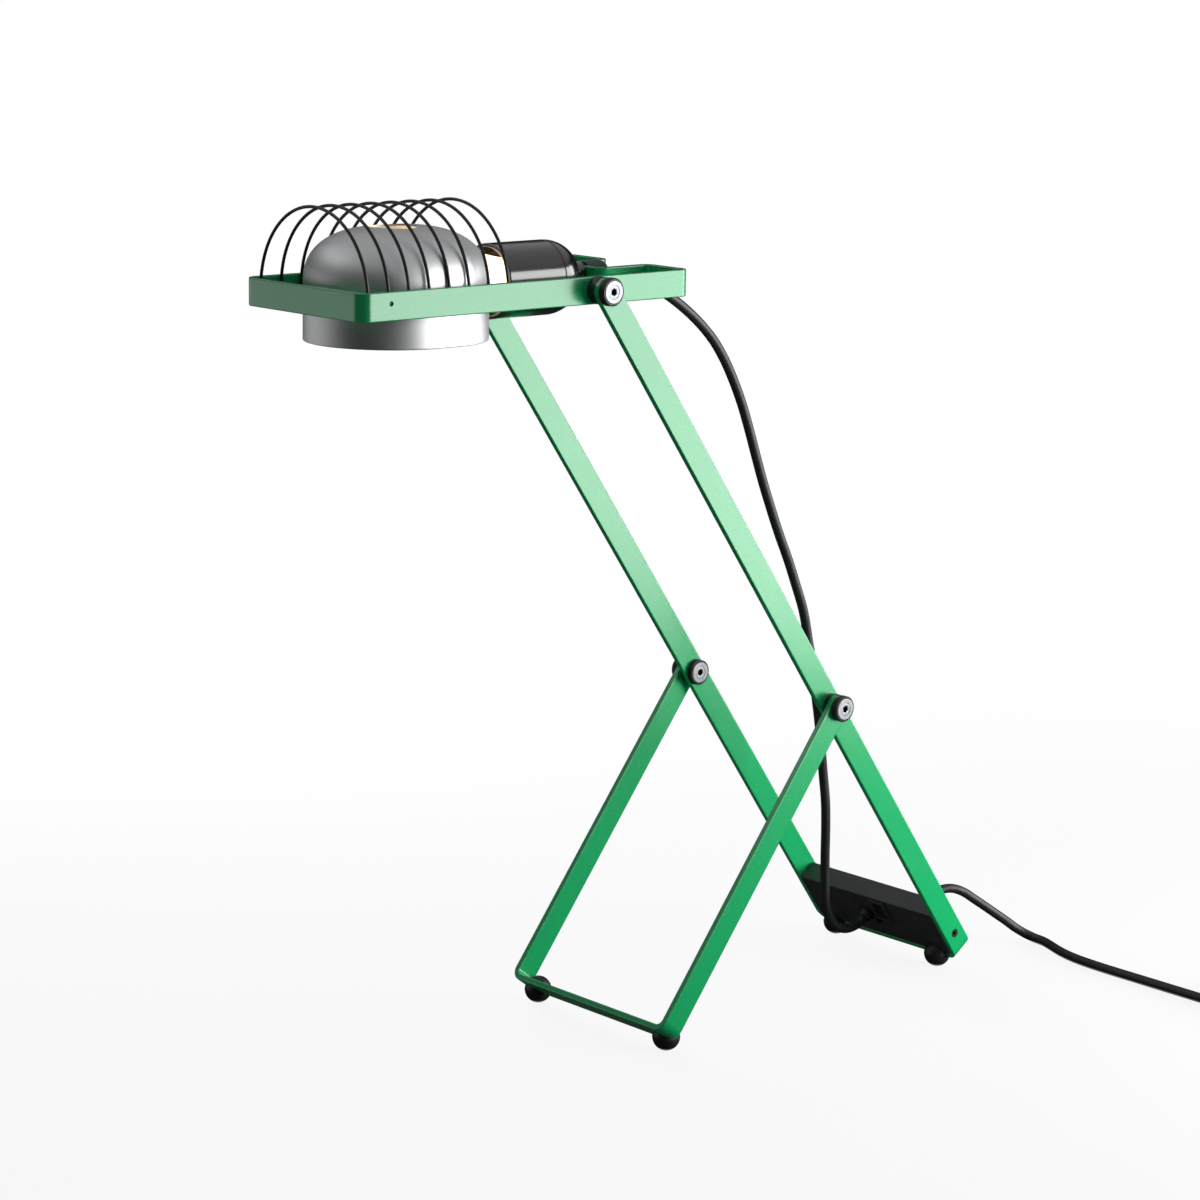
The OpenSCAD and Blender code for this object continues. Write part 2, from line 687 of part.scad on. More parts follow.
// The threaded nipple carries the lampholder on the head frame's cross wall, and the flex runs through it.
module holder_nipple() {
    color(steel) lamp_axis() difference() {
        translate([0, 0, nipple_y0]) cylinder(d = nipple_d, h = nipple_y1 - nipple_y0);
        translate([0, 0, nipple_y0 - 1]) cylinder(d = nipple_bore, h = nipple_y1 - nipple_y0 + 2);
    }
}
module holder_gland() {
    r = 8;
    round_r = 3;
    color(black) lamp_axis() difference() {
        union() {
            translate([0, 0, cross_wall]) cylinder(r = r, h = gland_y1 - cross_wall - round_r);
            translate([0, 0, gland_y1 - round_r]) rotate_extrude() union() {
                square([r - round_r, round_r]);
                intersection() {
                    translate([r - round_r, 0]) circle(r = round_r);
                    square([r, round_r]);
                }
            }
        }
        translate([0, 0, cross_wall - 1])
            cylinder(d = nipple_d + 2 * screw_gap, h = nipple_y1 - cross_wall + 1);
    }
}

// The bulb's glass: a globe, and a neck that narrows to the cap.
module bulb_form(shrink) {
    r = bulb_d / 2 - shrink;
    join = 38;
    neck_y0 = globe_y + r * sin(join);
    translate([0, 0, globe_y]) sphere(r = r);
    translate([0, 0, neck_y0])
        cylinder(r1 = r * cos(join), r2 = 14 - shrink, h = glass_y1 - shrink - neck_y0);
}
module bulb_glass() {
    color(ceramic) lamp_axis() difference() {
        bulb_form(0);
        bulb_form(0.8);
    }
}
// The bulb's cap: a thin cup, closed by the tip that meets the centre contact.
module bulb_cap() {
    cap_r = 13.2;
    tip_r = 4;
    wall = 0.8;
    straight = 17;
    color(steel) lamp_axis() rotate_extrude() polygon([
        [0, shell_y1], [tip_r, shell_y1], [cap_r, glass_y1 + straight], [cap_r, glass_y1],
        [cap_r - wall, glass_y1], [cap_r - wall, glass_y1 + straight - wall], [tip_r, shell_y1 - 2 * wall],
        [0, shell_y1 - 2 * wall]]);
}

// ---------- reflector and guard ----------

// Profile of the reflector from its middle line out: a straight skirt under a superelliptic dome.
function dome_r(r, t) = r * pow(cos(t), dome_power);
function dome_z(up, t) = refl_spring + (up - refl_spring) * pow(sin(t), dome_power);
module refl_profile(r, up, down) {
    steps = 12;
    polygon(concat([[0, -down], [r, -down]],
        [for (k = [0:steps]) let (t = 90 * k / steps) [k == steps ? 0 : dome_r(r, t), dome_z(up, t)]]));
}
module refl_form(shrink, down) {
    half = (refl_len - refl_w) / 2;
    r = refl_w / 2 - shrink;
    for (s = [-1, 1]) translate([0, s * half, 0]) rotate_extrude($fn = 96)
        refl_profile(r, refl_up - shrink, down);
    rotate([90, 0, 0]) translate([0, 0, -half]) linear_extrude(2 * half) both_sides()
        refl_profile(r, refl_up - shrink, down);
}
module reflector() {
    color(alu) on_head() translate([0, -refl_ahead, 0]) difference() {
        refl_form(0, refl_down);
        refl_form(refl_wall, refl_down + 1);
        translate([0, -3, 0]) cylinder(d = vent_d, h = refl_up + 1);
        translate([0, 0, lamp_up]) rod_y(neck_hole_d, refl_len / 2 - 16, refl_len / 2 + 1);
        translate([0, 0, stud_z]) rod_x(stud_d + 2 * screw_gap, -refl_w, refl_w);
    }
}

// Studs welded to the side walls pass through the skirt, and a nut inside holds the reflector on each.
module stud_place() { on_head() translate([0, -refl_ahead, stud_z]) both_sides() children(); }
module reflector_studs() {
    color(steel) stud_place() {
        rod_x(stud_collar_d, refl_w / 2, head_in);
        rod_x(stud_d, refl_w / 2 - refl_wall - 4, refl_w / 2 + eps);
    }
}
module reflector_nuts() {
    x1 = refl_w / 2 - refl_wall;
    color(steel) stud_place() difference() {
        hex_x(7, x1 - 3, x1);
        rod_x(stud_d + 2 * screw_gap, x1 - 4, x1 + 1);
    }
}

// Hoops of round wire on two rails inside the side walls, with a pin at each front end.
module wire_guard() {
    color(black) on_head() translate([0, 0, hoop_z]) {
        for (k = [0:hoop_count - 1]) translate([0, hoop_y0 + k * hoop_pitch, 0]) rotate([90, 0, 0])
            rotate_extrude(angle = 180) translate([hoop_r, 0]) circle(d = wire_d, $fn = 24);
        both_sides() {
            translate([hoop_r, 0, 0]) rod_y(wire_d, hoop_y0 - wire_d, hoop_y1 + wire_d);
            translate([0, pin_y, 0]) rod_x(wire_d, hoop_r, head_out - 1);
        }
    }
}

// ---------- cords ----------

// A point of the long frame's own Y and Z, turned to the upright frame of the whole lamp.
function long_turn(y, z) = let (a = 90 - long_lean) [0, y * cos(a) - z * sin(a), y * sin(a) + z * cos(a)];

// Both cords start and end at their glands. The points of each route move along with the ends they hang from.
flex_start = [0, head_y + gland_y1 + flex_gap, head_z + lamp_up];
flex_nose = [flex_x, pivot_y, pivot_z] + long_turn(box_front - flex_gland_len, flex_z);
flex_last = len(flex_route) - 1;
flex_path = concat([flex_start],
    [for (i = [0:flex_last]) let (s = i / flex_last)
        flex_route[i] + (1 - s) * (flex_start - flex_top) + s * (flex_nose - flex_foot)],
    [flex_nose - long_turn(4, 0), flex_nose]);
module head_flex() { color(black) swept_tube(flex_path, flex_d, cord_sides, [1, 0, 0]); }

lead_nose = [lead_x, pivot_y, pivot_z] + long_turn(box_rear + lead_gland_len, lead_z);
lead_path = concat([lead_nose, lead_nose + long_turn(4, 0)],
    [for (i = [0:len(lead_route) - 1])
        lead_route[i] + max(0, 1 - i / lead_drop_points) * (lead_nose - lead_top)],
    [coil_point(0) - [lead_d, 0, 0]]);
module mains_lead() { color(black) swept_tube(lead_path, lead_d, cord_sides, [0, 0, 1]); }

// The coil: in along the floor, half a turn to climb, and out again on top.
turns_all = turns_in + turns_climb + turns_out;
inner_r = coil_r - turns_in * coil_pitch;
function climbed(n) = min(max((n - turns_in) / turns_climb, 0), 1);
function coil_radius(n) = n < turns_in ? coil_r - n * coil_pitch
    : inner_r - climb_dip * sin(180 * climbed(n)) + max(n - turns_in - turns_climb, 0) * coil_pitch;
function coil_height(n) = coil_z + coil_layer * climbed(n);
function coil_point(n) = let (a = 360 * n - 90, r = coil_radius(n))
    [coil_c[0] + r * cos(a), coil_c[1] + r * sin(a), coil_height(n)];
coil_steps = round(turns_all * coil_rings);
coil_end = coil_point(turns_all);
coil_path = concat([coil_point(0) - [lead_d, 0, 0]],
    [for (k = [0:coil_steps]) coil_point(k * turns_all / coil_steps)], [coil_end + [0, lead_d, 0]]);
module mains_coil() { color(black) swept_tube(coil_path, lead_d, coil_sides, [0, 0, 1]); }

// Least gap of the coil to itself, over all pairs of its points that lie more than half a turn apart.
coil_gap = min([for (i = [0:coil_steps], j = [i + coil_rings / 2:1:coil_steps])
    norm(coil_path[i + 1] - coil_path[j + 1])]) - lead_d;
echo(coil_gap = coil_gap);

tail_start = coil_end + [0, lead_d, 0];
tail_path = concat([tail_start], [for (k = [0:4]) let (s = k / 4)
    tail_start + [0, lead_d + (tail_len - 2 * lead_d) * s, -coil_layer * (1 - cos(180 * s)) / 2]],
    [tail_start + [0, tail_len, -coil_layer]]);
module mains_tail() { color(black) swept_tube(tail_path, lead_d, cord_sides, [0, 0, 1]); }

// Length of a route, and the lengths of the head flex and of the whole mains lead.
function route_len(pts) = let (n = len(pts) - 1)
    [for (i = [1:n]) 1] * [for (i = [1:n]) norm(pts[i] - pts[i - 1])];
echo(flex_len = route_len(flex_path), lead_len = route_len(lead_path) + route_len(coil_path)
    + route_len(tail_path) + lead_gland_len);

plug_w = 35;
plug_t = 13.5;
plug_l = 36;
plug_z = plug_t / 2 + 0.05;
plug_y = tail_start[1] + tail_len;
collar_d = 8;
module plug_body() {
    color(black) translate([coil_end[0], plug_y, 0]) {
        translate([0, 0, collar_d / 2 + 0.05]) rotate([-90, 0, 0]) cylinder(d = collar_d, h = 12);
        hull() {
            translate([-5, 8, plug_z - 4.5]) cube([10, 1, 9]);
            translate([-plug_w / 2 + 3, plug_l - 16, plug_z - plug_t / 2]) cube([plug_w - 6, 1, plug_t]);
            translate([-plug_w / 2, plug_l - 10, plug_z - plug_t / 2]) cube([plug_w, 10, plug_t]);
        }
    }
}
module plug_pins() {
    color(steel) translate([coil_end[0], plug_y + plug_l, plug_z]) for (s = [-1, 1])
        translate([s * 9.5, 0, 0]) rotate([-90, 0, 0]) {
            cylinder(d = 4, h = 18);
            translate([0, 0, 18 - eps]) cylinder(d1 = 4, d2 = 2.6, h = 1);
        }
}

long_frame();
short_frame();
head_frame();
front_feet();
rear_feet();
mid_bolts();
mid_outer_caps();
mid_spacers();
mid_inner_caps();
mid_sleeve_nuts();
head_bolts();
head_outer_caps();
head_spacers();
head_washers();
head_sleeve_nuts();
base_shell();
base_cover();
cover_screws();
side_screws();
clamp_screw();
cord_clamp();
terminal_block();
switch_housing();
switch_rocker();
flex_gland();
lead_gland();
holder_shell();
holder_cap();
holder_insulator();
screw_shell();
centre_contact();
holder_nipple();
holder_gland();
bulb_glass();
bulb_cap();
reflector();
reflector_studs();
reflector_nuts();
wire_guard();
head_flex();
mains_lead();
mains_coil();
mains_tail();
plug_body();
plug_pins();
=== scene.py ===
# Accordion desk lamp: two bent-strip frames on ball feet, a tilting head with reflector, bulb and wire guard.
import math

import bmesh
import bpy
import numpy as np
from mathutils import Matrix


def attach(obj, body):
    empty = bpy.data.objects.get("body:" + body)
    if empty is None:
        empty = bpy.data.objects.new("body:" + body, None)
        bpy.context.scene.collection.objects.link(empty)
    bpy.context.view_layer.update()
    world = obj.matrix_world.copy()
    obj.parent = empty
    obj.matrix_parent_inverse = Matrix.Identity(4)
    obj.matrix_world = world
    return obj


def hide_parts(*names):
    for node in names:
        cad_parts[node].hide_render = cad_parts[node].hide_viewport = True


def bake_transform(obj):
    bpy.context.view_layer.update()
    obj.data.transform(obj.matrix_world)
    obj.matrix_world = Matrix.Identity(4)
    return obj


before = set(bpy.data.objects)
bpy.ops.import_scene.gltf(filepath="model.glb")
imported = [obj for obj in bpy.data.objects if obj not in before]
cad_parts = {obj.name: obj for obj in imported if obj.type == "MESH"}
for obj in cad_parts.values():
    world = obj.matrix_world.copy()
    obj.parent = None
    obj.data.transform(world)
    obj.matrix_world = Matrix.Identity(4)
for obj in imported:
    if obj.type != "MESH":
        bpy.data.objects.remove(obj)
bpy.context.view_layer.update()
scene = bpy.context.scene
scene.view_settings.view_transform = "Standard"
mm = 0.001
ease = 0.3  # mm, distance of the extra loops that keep flat faces flat beside a rounded edge
print("frame loaded:", len(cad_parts), "nodes")

# sizes that several pieces share, in mm, as the solids have them
lamp = {
    "stripW": 17.0, "stripT": 4.0, "bendR": 4.0, "edgeR": 0.75,
    "longUpper": 350.0, "longLower": 237.0, "longLean": 54.5, "longW": 134.0,
    "shortLen": 242.0, "legGap": 3.0, "headGap": 6.0, "headFront": 180.0, "headRear": 77.0,
    "footD": 18.0, "footOff": 9.0, "footFlat": 0.5, "boxDeep": 15.0,
}
stripW, stripT, footOff, headFront, headRear = (
    lamp[k] for k in ("stripW", "stripT", "footOff", "headFront", "headRear"))
longUpper, longLower, shortLen = lamp["longUpper"], lamp["longLower"], lamp["shortLen"]
lean = math.radians(lamp["longLean"])
footDrop = longLower * math.sin(lean) + footOff * math.cos(lean)
shortLean = math.asin(footDrop / math.hypot(shortLen, footOff))
shortLean -= math.atan(footOff / shortLen)
frontY = -longUpper * math.cos(lean) - headFront
backY = (longLower + stripT / 2) * math.cos(lean) + stripW / 2 * math.sin(lean)
pivotY = -(frontY + backY) / 2
pivotZ = footDrop + lamp["footD"] / 2 - lamp["footFlat"]
headY = pivotY - longUpper * math.cos(lean)
headZ = pivotZ + longUpper * math.sin(lean)
longOut = lamp["longW"] / 2
longIn = longOut - stripT
shortIn = longOut + lamp["legGap"]
shortOut = shortIn + stripT
headOut = longIn - lamp["headGap"]
headIn = headOut - stripT
boxZ = -longLower + stripT / 2  # underside of the box, along the long arms
boxFront = -stripW / 2
boxRear = boxFront + lamp["boxDeep"]


# places
def turned(points, angle, y, z):
    # y and z turn about the X axis by the angle, then move to (y, z)
    p = np.asarray(points, float)
    c, s = math.cos(angle), math.sin(angle)
    return np.stack([p[..., 0], y + p[..., 1] * c - p[..., 2] * s, z + p[..., 1] * s + p[..., 2] * c], -1)


def onLong(points):
    return turned(points, math.pi / 2 - lean, pivotY, pivotZ)


def onShort(points):
    return turned(points, shortLean - math.pi / 2, pivotY, pivotZ)


def onHead(points):
    return turned(points, 0.0, headY, headZ)


def asIs(points):
    return points


# camera
camera = {
    "place": (1.5913, -1.45293, 0.71487), "yaw": 48.44, "pitch": 10.87, "roll": 0.90,
    "focalPx": 3414.7, "midX": -17.0, "midY": -31.0, "imagePx": 1200.0,
}


def axesAt(right, up, back, place):
    # the matrix of an object with these axes at that place
    m = np.eye(4)
    m[:3] = np.stack([right, up, back, place], 1)
    return Matrix(m.tolist())


def aimCamera(c):
    # back points from the lamp to the camera; right and up are turned about it by the roll
    yaw, pitch, roll = (math.radians(c[k]) for k in ("yaw", "pitch", "roll"))
    back = np.array([math.sin(yaw) * math.cos(pitch), -math.cos(yaw) * math.cos(pitch), math.sin(pitch)])
    right = np.cross([0, 0, 1], back)
    right /= np.linalg.norm(right)
    up = np.cross(back, right)
    side = math.cos(roll) * right + math.sin(roll) * up
    top = -math.sin(roll) * right + math.cos(roll) * up
    data = bpy.data.cameras.new("camera")
    data.sensor_width = 36.0
    data.lens = c["focalPx"] * data.sensor_width / c["imagePx"]
    data.shift_x = -c["midX"] / c["imagePx"]
    data.shift_y = c["midY"] / c["imagePx"]
    data.clip_end = 200.0
    cam = bpy.data.objects.new("camera", data)
    scene.collection.objects.link(cam)
    cam.matrix_world = axesAt(side, top, back, c["place"])
    scene.camera = cam


aimCamera(camera)
print("camera placed")


# surfaces
def gridFaces(rows, cols, closeRows):
    # four neighbours of the grid make a face; each row runs on to its start, and so may the last row
    i = np.arange(rows if closeRows else rows - 1)[:, None]
    j = np.arange(cols)[None, :]
    nextI, nextJ = (i + 1) % rows, (j + 1) % cols
    faces = [i * cols + j, i * cols + nextJ, nextI * cols + nextJ, nextI * cols + j]
    return np.stack(faces, -1).reshape(-1, 4)


def skin(points, closeRows=False, caps=False, along=None):
    # points is a grid rows x cols x 3; caps closes the first and last rows with flat faces
    rows, cols = points.shape[:2]
    faces = gridFaces(rows, cols, closeRows).tolist()
    if caps:
        faces += [list(range(cols))[::-1], list(range((rows - 1) * cols, rows * cols))]
    run = np.zeros(rows) if along is None else np.asarray(along, float)
    return points.reshape(-1, 3), faces, np.repeat(run, cols)


def bothSides(*shapes):
    # each shape, and its mirror image across the middle
    return [(points * way, faces, run) for points, faces, run in shapes for way in ([1, 1, 1], [-1, 1, 1])]


def placed(shapes, where):
    # the shapes, each of its points taken to its place
    return [(where(points), faces, run) for points, faces, run in shapes]


def softened(corners, radius, steps=4):
    # Every inner corner of a profile becomes a short curve, with one more point just before and after it. A
    # curve takes no more than its share of a side.
    share, beside, least = 0.45, 0.1, 1e-3
    p = np.asarray(corners, float)
    radii = np.broadcast_to(radius, len(p))
    line = [p[:1]]
    t = np.linspace(0, 1, steps + 1)[:, None]
    for k in range(1, len(p) - 1):
        into, out = p[k] - p[k - 1], p[k + 1] - p[k]
        cut = min(radii[k], share * np.linalg.norm(into), share * np.linalg.norm(out))
        if cut < least:
            line.append(p[k:k + 1])
            continue
        into *= cut / np.linalg.norm(into)
        out *= cut / np.linalg.norm(out)
        a, b = p[k] - into, p[k] + out
        curve = (1 - t) ** 2 * a + 2 * t * (1 - t) * p[k] + t ** 2 * b
        line += [(a - beside * into)[None], curve, (b + beside * out)[None]]
    line.append(p[-1:])
    return np.concatenate(line)


def lengthAlong(p):
    # how far along the line each point lies
    return np.concatenate([[0], np.cumsum(np.linalg.norm(np.diff(p, axis=0), axis=1))])


def lathe(profile, axis="x", middle=(0, 0, 0), sides=48, hexRows=None, closed=False):
    # a profile of (radius, place along the axis) swings round the axis; hexRows are pressed to a hexagon
    p = np.asarray(profile, float)
    t = 2 * math.pi * np.arange(sides) / sides
    r = np.repeat(p[:, :1], sides, 1)
    if hexRows is not None:
        flat = math.cos(math.pi / 6) / np.cos(np.mod(t, math.pi / 3) - math.pi / 6)
        r = np.where(np.asarray(hexRows)[:, None], r * flat, r)
    a = np.repeat(p[:, 1:2], sides, 1)
    c, s = r * np.cos(t), r * np.sin(t)
    g = {"x": (a, c, s), "y": (s, a, c), "z": (c, s, a)}[axis]
    return skin(np.stack(g, -1) + np.asarray(middle, float), closeRows=closed, along=lengthAlong(p))


def outline(corners, radii, steps=5):
    # points round a polygon, each with the way it moves when the outline shrinks by one mm
    p = np.asarray(corners, float)
    radii = np.broadcast_to(radii, len(p))
    base, inward = [], []
    for k in range(len(p)):
        e1, e2 = p[k] - p[k - 1], p[(k + 1) % len(p)] - p[k]
        n1 = np.array([e1[1], -e1[0]]) / np.linalg.norm(e1)
        n2 = np.array([e2[1], -e2[0]]) / np.linalg.norm(e2)
        mitre = (n1 + n2) / (1 + n1 @ n2)
        if radii[k] == 0:
            base.append(p[k:k + 1])
            inward.append(mitre[None])
            continue
        t = np.linspace(0, 1, steps + 1)[:, None]
        u = (1 - t) * n1 + t * n2
        u /= np.linalg.norm(u, axis=1, keepdims=True)
        base.append(p[k] - radii[k] * mitre + radii[k] * u)
        inward.append(u)
    return np.concatenate(base), np.concatenate(inward)


def roundedEdge(edge, near, steps=4):
    # inset and depth along a quarter circle, with one more line just past each of its ends
    a = np.linspace(0, math.pi / 2, steps + 1)
    return (np.concatenate([[edge + near], edge * (1 - np.sin(a)), [0]]),
            np.concatenate([[0], edge * (1 - np.cos(a)), [edge + near]]))


def block(corners, radii, depth0, depth1, edge, axes="xzy"):
    # the outline is carried from depth0 to depth1; near both ends it shrinks along a quarter circle
    base, inward = outline(corners, radii)
    inset, depth = roundedEdge(edge, min(ease, edge / 2))
    inset = np.concatenate([inset, inset[::-1]])
    depth = np.concatenate([depth0 + depth, (depth1 - depth)[::-1]])
    flat = base[None] - inset[:, None, None] * inward[None]
    g = {axes[0]: flat[..., 0], axes[1]: flat[..., 1], axes[2]: np.repeat(depth[:, None], len(base), 1)}
    return skin(np.stack([g["x"], g["y"], g["z"]], -1), caps=True)


def bentStrip(corners, bends, width, thick, edge, closed=False, steps=12):
    # A section with rounded edges is carried along a line of straight runs and arcs. At a free end its half
    # width follows a circle, so that the strip ends in a half round.
    p = np.asarray(corners, float)
    spots, ways, ends = [], [], []
    turn = np.linspace(0, 1, steps + 1)[:, None]

    def station(spot, way, end):
        spots.append(np.broadcast_to(spot, (len(end), 2)))
        ways.append(np.broadcast_to(way, (len(end), 2)))
        ends.append(end)

    near = np.zeros(1)
    for k in range(len(p)):
        first, last = not closed and k == 0, not closed and k == len(p) - 1
        out = p[(k + 1) % len(p)] - p[k]
        into = p[k] - p[k - 1]
        out, into = out / np.linalg.norm(out), into / np.linalg.norm(into)
        if first:
            station(p[k], out, np.radians(np.linspace(-90, 0, steps + 1)))
            station(p[k] + ease * out, out, near)
        elif last:
            station(p[k] - ease * into, into, near)
            station(p[k], into, np.radians(np.linspace(0, 90, steps + 1)))
        else:
            angle = math.acos(np.clip(into @ out, -1, 1))
            r = bends[k]
            start = p[k] - into * r * math.tan(angle / 2)
            side = (out - into * (into @ out)) / math.sin(angle)
            a = turn * angle
            station(start - ease * into, into, near)
            station(start + r * (np.sin(a) * into + (1 - np.cos(a)) * side),
                    np.cos(a) * into + np.sin(a) * side, np.zeros(steps + 1))
            station(p[k] + out * (r * math.tan(angle / 2) + ease), out, near)
    spots, ways, ends = np.concatenate(spots), np.concatenate(ways), np.concatenate(ends)
    across = np.stack([-ways[:, 1], ways[:, 0]], 1)
    inset, depth = roundedEdge(edge, ease)
    level = thick / 2 - depth
    inset = np.concatenate([inset, inset[::-1]] * 2)
    level = np.concatenate([level, -level[::-1], -level, level[::-1]])
    side = np.repeat([1.0, -1.0], len(inset) // 2)
    reach = width / 2 - inset
    flat = (spots[:, None] + level[None, :, None] * across[:, None]
            + (reach[None] * np.sin(ends)[:, None])[..., None] * ways[:, None])
    wide = side[None] * reach[None] * np.cos(ends)[:, None]
    return skin(np.concatenate([flat, wide[..., None]], -1), closeRows=closed)


def cubic(t, start, end, slope0, slope1):
    # from start to end as t goes from 0 to 1, with these slopes at the two ends
    return ((2 * t**3 - 3 * t**2 + 1) * start + (t**3 - 2 * t**2 + t) * slope0
            + (3 * t**2 - 2 * t**3) * end + (t**3 - t**2) * slope1)


def smoothPath(points, between):
    # a curve through all points: between two of them a cubic whose slopes come from their neighbours
    p = np.asarray(points, float)
    d = np.linalg.norm(np.diff(p, axis=0), axis=1)[:, None]
    way = np.diff(p, axis=0) / d
    slope = np.concatenate([way[:1], (way[:-1] * d[1:] + way[1:] * d[:-1]) / (d[1:] + d[:-1]), way[-1:]])
    t = (np.arange(between) / between)[None, :, None]
    curve = cubic(t, p[:-1, None], p[1:, None], (slope[:-1] * d)[:, None], (slope[1:] * d)[:, None])
    return np.concatenate([curve.reshape(-1, 3), p[-1:]])


def tube(points, radius, sides, reference):
    # a circle is carried along the points, square to the way there; the reference keeps it from twisting
    p = np.asarray(points, float)
    way = np.gradient(p, axis=0)
    way /= np.linalg.norm(way, axis=1, keepdims=True)
    ref = np.asarray(reference, float)
    a = ref - (way @ ref)[:, None] * way
    a /= np.linalg.norm(a, axis=1, keepdims=True)
    b = np.cross(way, a)
    t = 2 * math.pi * np.arange(sides) / sides
    r = np.broadcast_to(radius, len(p))[:, None, None]
    ringed = p[:, None] + r * (np.cos(t)[None, :, None] * a[:, None] + np.sin(t)[None, :, None] * b[:, None])
    return skin(ringed, caps=True, along=lengthAlong(p))


# pieces
def buildMesh(name, shapes, weld=2e-6, sliver=1e-7):
    # the shapes become one mesh, doubles merged and faces turned outwards
    points, faces, run, count = [], [], [], 0
    for shapePoints, shapeFaces, shapeRun in shapes:
        faces += [[v + count for v in face] for face in shapeFaces]
        points.append(shapePoints)
        run.append(shapeRun)
        count += len(shapePoints)
    mesh = bpy.data.meshes.new(name)
    mesh.from_pydata((np.concatenate(points) * mm).tolist(), [], faces)
    along = mesh.attributes.new("along", "FLOAT", "POINT")
    along.data.foreach_set("value", np.concatenate(run).astype(np.float32))
    work = bmesh.new()
    work.from_mesh(mesh)
    bmesh.ops.remove_doubles(work, verts=work.verts, dist=weld)
    bmesh.ops.dissolve_degenerate(work, edges=work.edges, dist=sliver)
    bmesh.ops.recalc_face_normals(work, faces=work.faces)
    work.to_mesh(mesh)
    work.free()
    return mesh


def smoothed(mesh, angle=35):
    mesh.polygons.foreach_set("use_smooth", np.ones(len(mesh.polygons), bool))
    mesh.set_sharp_from_angle(angle=math.radians(angle))
    mesh.update()


def makeObject(name, shapes):
    piece = bpy.data.objects.new(name, buildMesh(name, shapes))
    scene.collection.objects.link(piece)
    smoothed(piece.data)
    return piece


def cutAway(piece, shapes):
    # the shapes are taken out of the piece, and the result becomes its mesh
    tool = makeObject("cutter", shapes)
    cut = piece.modifiers.new("cut", "BOOLEAN")
    cut.operation, cut.solver, cut.object = "DIFFERENCE", "EXACT", tool
    bpy.context.view_layer.update()
    result = bpy.data.meshes.new_from_object(piece.evaluated_get(bpy.context.evaluated_depsgraph_get()))
    piece.modifiers.clear()
    piece.data = result
    result.name = piece.name
    smoothed(result)
    bpy.data.objects.remove(tool)


def rod(d, start, end, axis="x", middle=(0, 0, 0), sides=48, soft=0, steps=3):
    # a round bar; soft is the radius of its two edges, or of each of the four corners of its profile
    profile = [[0, start], [d / 2, start], [d / 2, end], [0, end]]
    return lathe(softened(profile, soft, steps) if np.any(soft) else profile, axis, middle, sides)


# materials
def ink(code):
    # sRGB hex to linear light
    c = np.array([int(code[i:i + 2], 16) for i in (1, 3, 5)]) / 255
    return (*np.where(c <= 0.04045, c / 12.92, ((c + 0.055) / 1.055) ** 2.4).tolist(), 1.0)


def add(tree, kind, sockets=None, **settings):
    # a node with its settings; a socket given another socket is linked to it
    made = tree.nodes.new("ShaderNode" + kind)
    for key, value in settings.items():
        setattr(made, key, value)
    for key, value in (sockets or {}).items():
        if isinstance(value, bpy.types.NodeSocket):
            tree.links.new(value, made.inputs[key])
        else:
            made.inputs[key].default_value = value
    return made


def startMaterial(name):
    material = bpy.data.materials.new(name)
    material.use_nodes = True
    material.node_tree.nodes.clear()
    return material, material.node_tree


def finishMaterial(material, tree, shader):
    add(tree, "OutputMaterial", {"Surface": shader})
    return material


def surface(name, v, sockets):
    # Two tones mix by the first noise, and the last noise moves gloss and relief; a noise is (mm, detail).
    # Rings are a sine along the piece: relief = share * sine + noise, or the sine alone where the share is 1.
    # Between the two places in "deep" along the piece, the third tone takes over, as painted shade in a deep
    # recess.
    material, tree = startMaterial(name)
    spot = add(tree, "TexCoord").outputs["Object"]
    if "stretch" in v:
        spot = add(tree, "Mapping", {"Vector": spot, "Scale": v["stretch"]}).outputs["Vector"]
    noise = [add(tree, "TexNoise", {"Vector": spot, "Scale": 1 / (size * mm), "Detail": detail})
             for size, detail in v["noise"]]
    grain = noise[-1].outputs["Fac"]
    tones = [ink(code) for code in v["tones"]]
    tone = add(tree, "Mix", {0: noise[0].outputs["Fac"], 6: tones[0], 7: tones[1]},
               data_type="RGBA").outputs[2]
    relief = grain
    if "rings" in v:
        pitch, share = v["rings"]
        along = add(tree, "Attribute", attribute_name="along").outputs["Fac"]
        phase = add(tree, "Math", {0: along, 1: 2 * math.pi / pitch}, operation="MULTIPLY")
        sine = add(tree, "Math", {0: phase.outputs[0]}, operation="SINE")
        relief = add(tree, "Math", {0: sine.outputs[0], 1: share, 2: grain if share < 1 else 0.0},
                     operation="MULTIPLY_ADD").outputs[0]
    # painted shade: past the "deep" places along the profile, a dark third tone stands in for the shade of a
    # recess
    if "deep" in v:
        depth = add(tree, "MapRange",
                    {"Value": along, "From Min": v["deep"][0], "From Max": v["deep"][1]})
        tone = add(tree, "Mix", {0: depth.outputs["Result"], 6: tone, 7: tones[2]},
                   data_type="RGBA").outputs[2]
    skinSockets = {"Base Color": tone}
    if "gloss" in v:
        low, high = v["gloss"]
        skinSockets["Roughness"] = add(tree, "MapRange", {
            "Value": grain, "To Min": low, "To Max": high}).outputs["Result"]
    if "bump" in v:
        strength, height = v["bump"]
        skinSockets["Normal"] = add(tree, "Bump", {
            "Height": relief, "Strength": strength, "Distance": height * mm}).outputs["Normal"]
    shader = add(tree, "BsdfPrincipled", {**skinSockets, **sockets})
    return finishMaterial(material, tree, shader.outputs["BSDF"])


def moulded(name, dark, light, rough, grain, depth):
    # Moulded plastic or rubber: one colour through, with the fine spark-eroded grain of its mould.
    return surface(name, {"tones": (dark, light), "noise": ((18.0, 4.0), (grain, 3.0)),
                          "gloss": (rough - 0.05, rough + 0.07), "bump": (0.3, depth)}, {"IOR": 1.5})


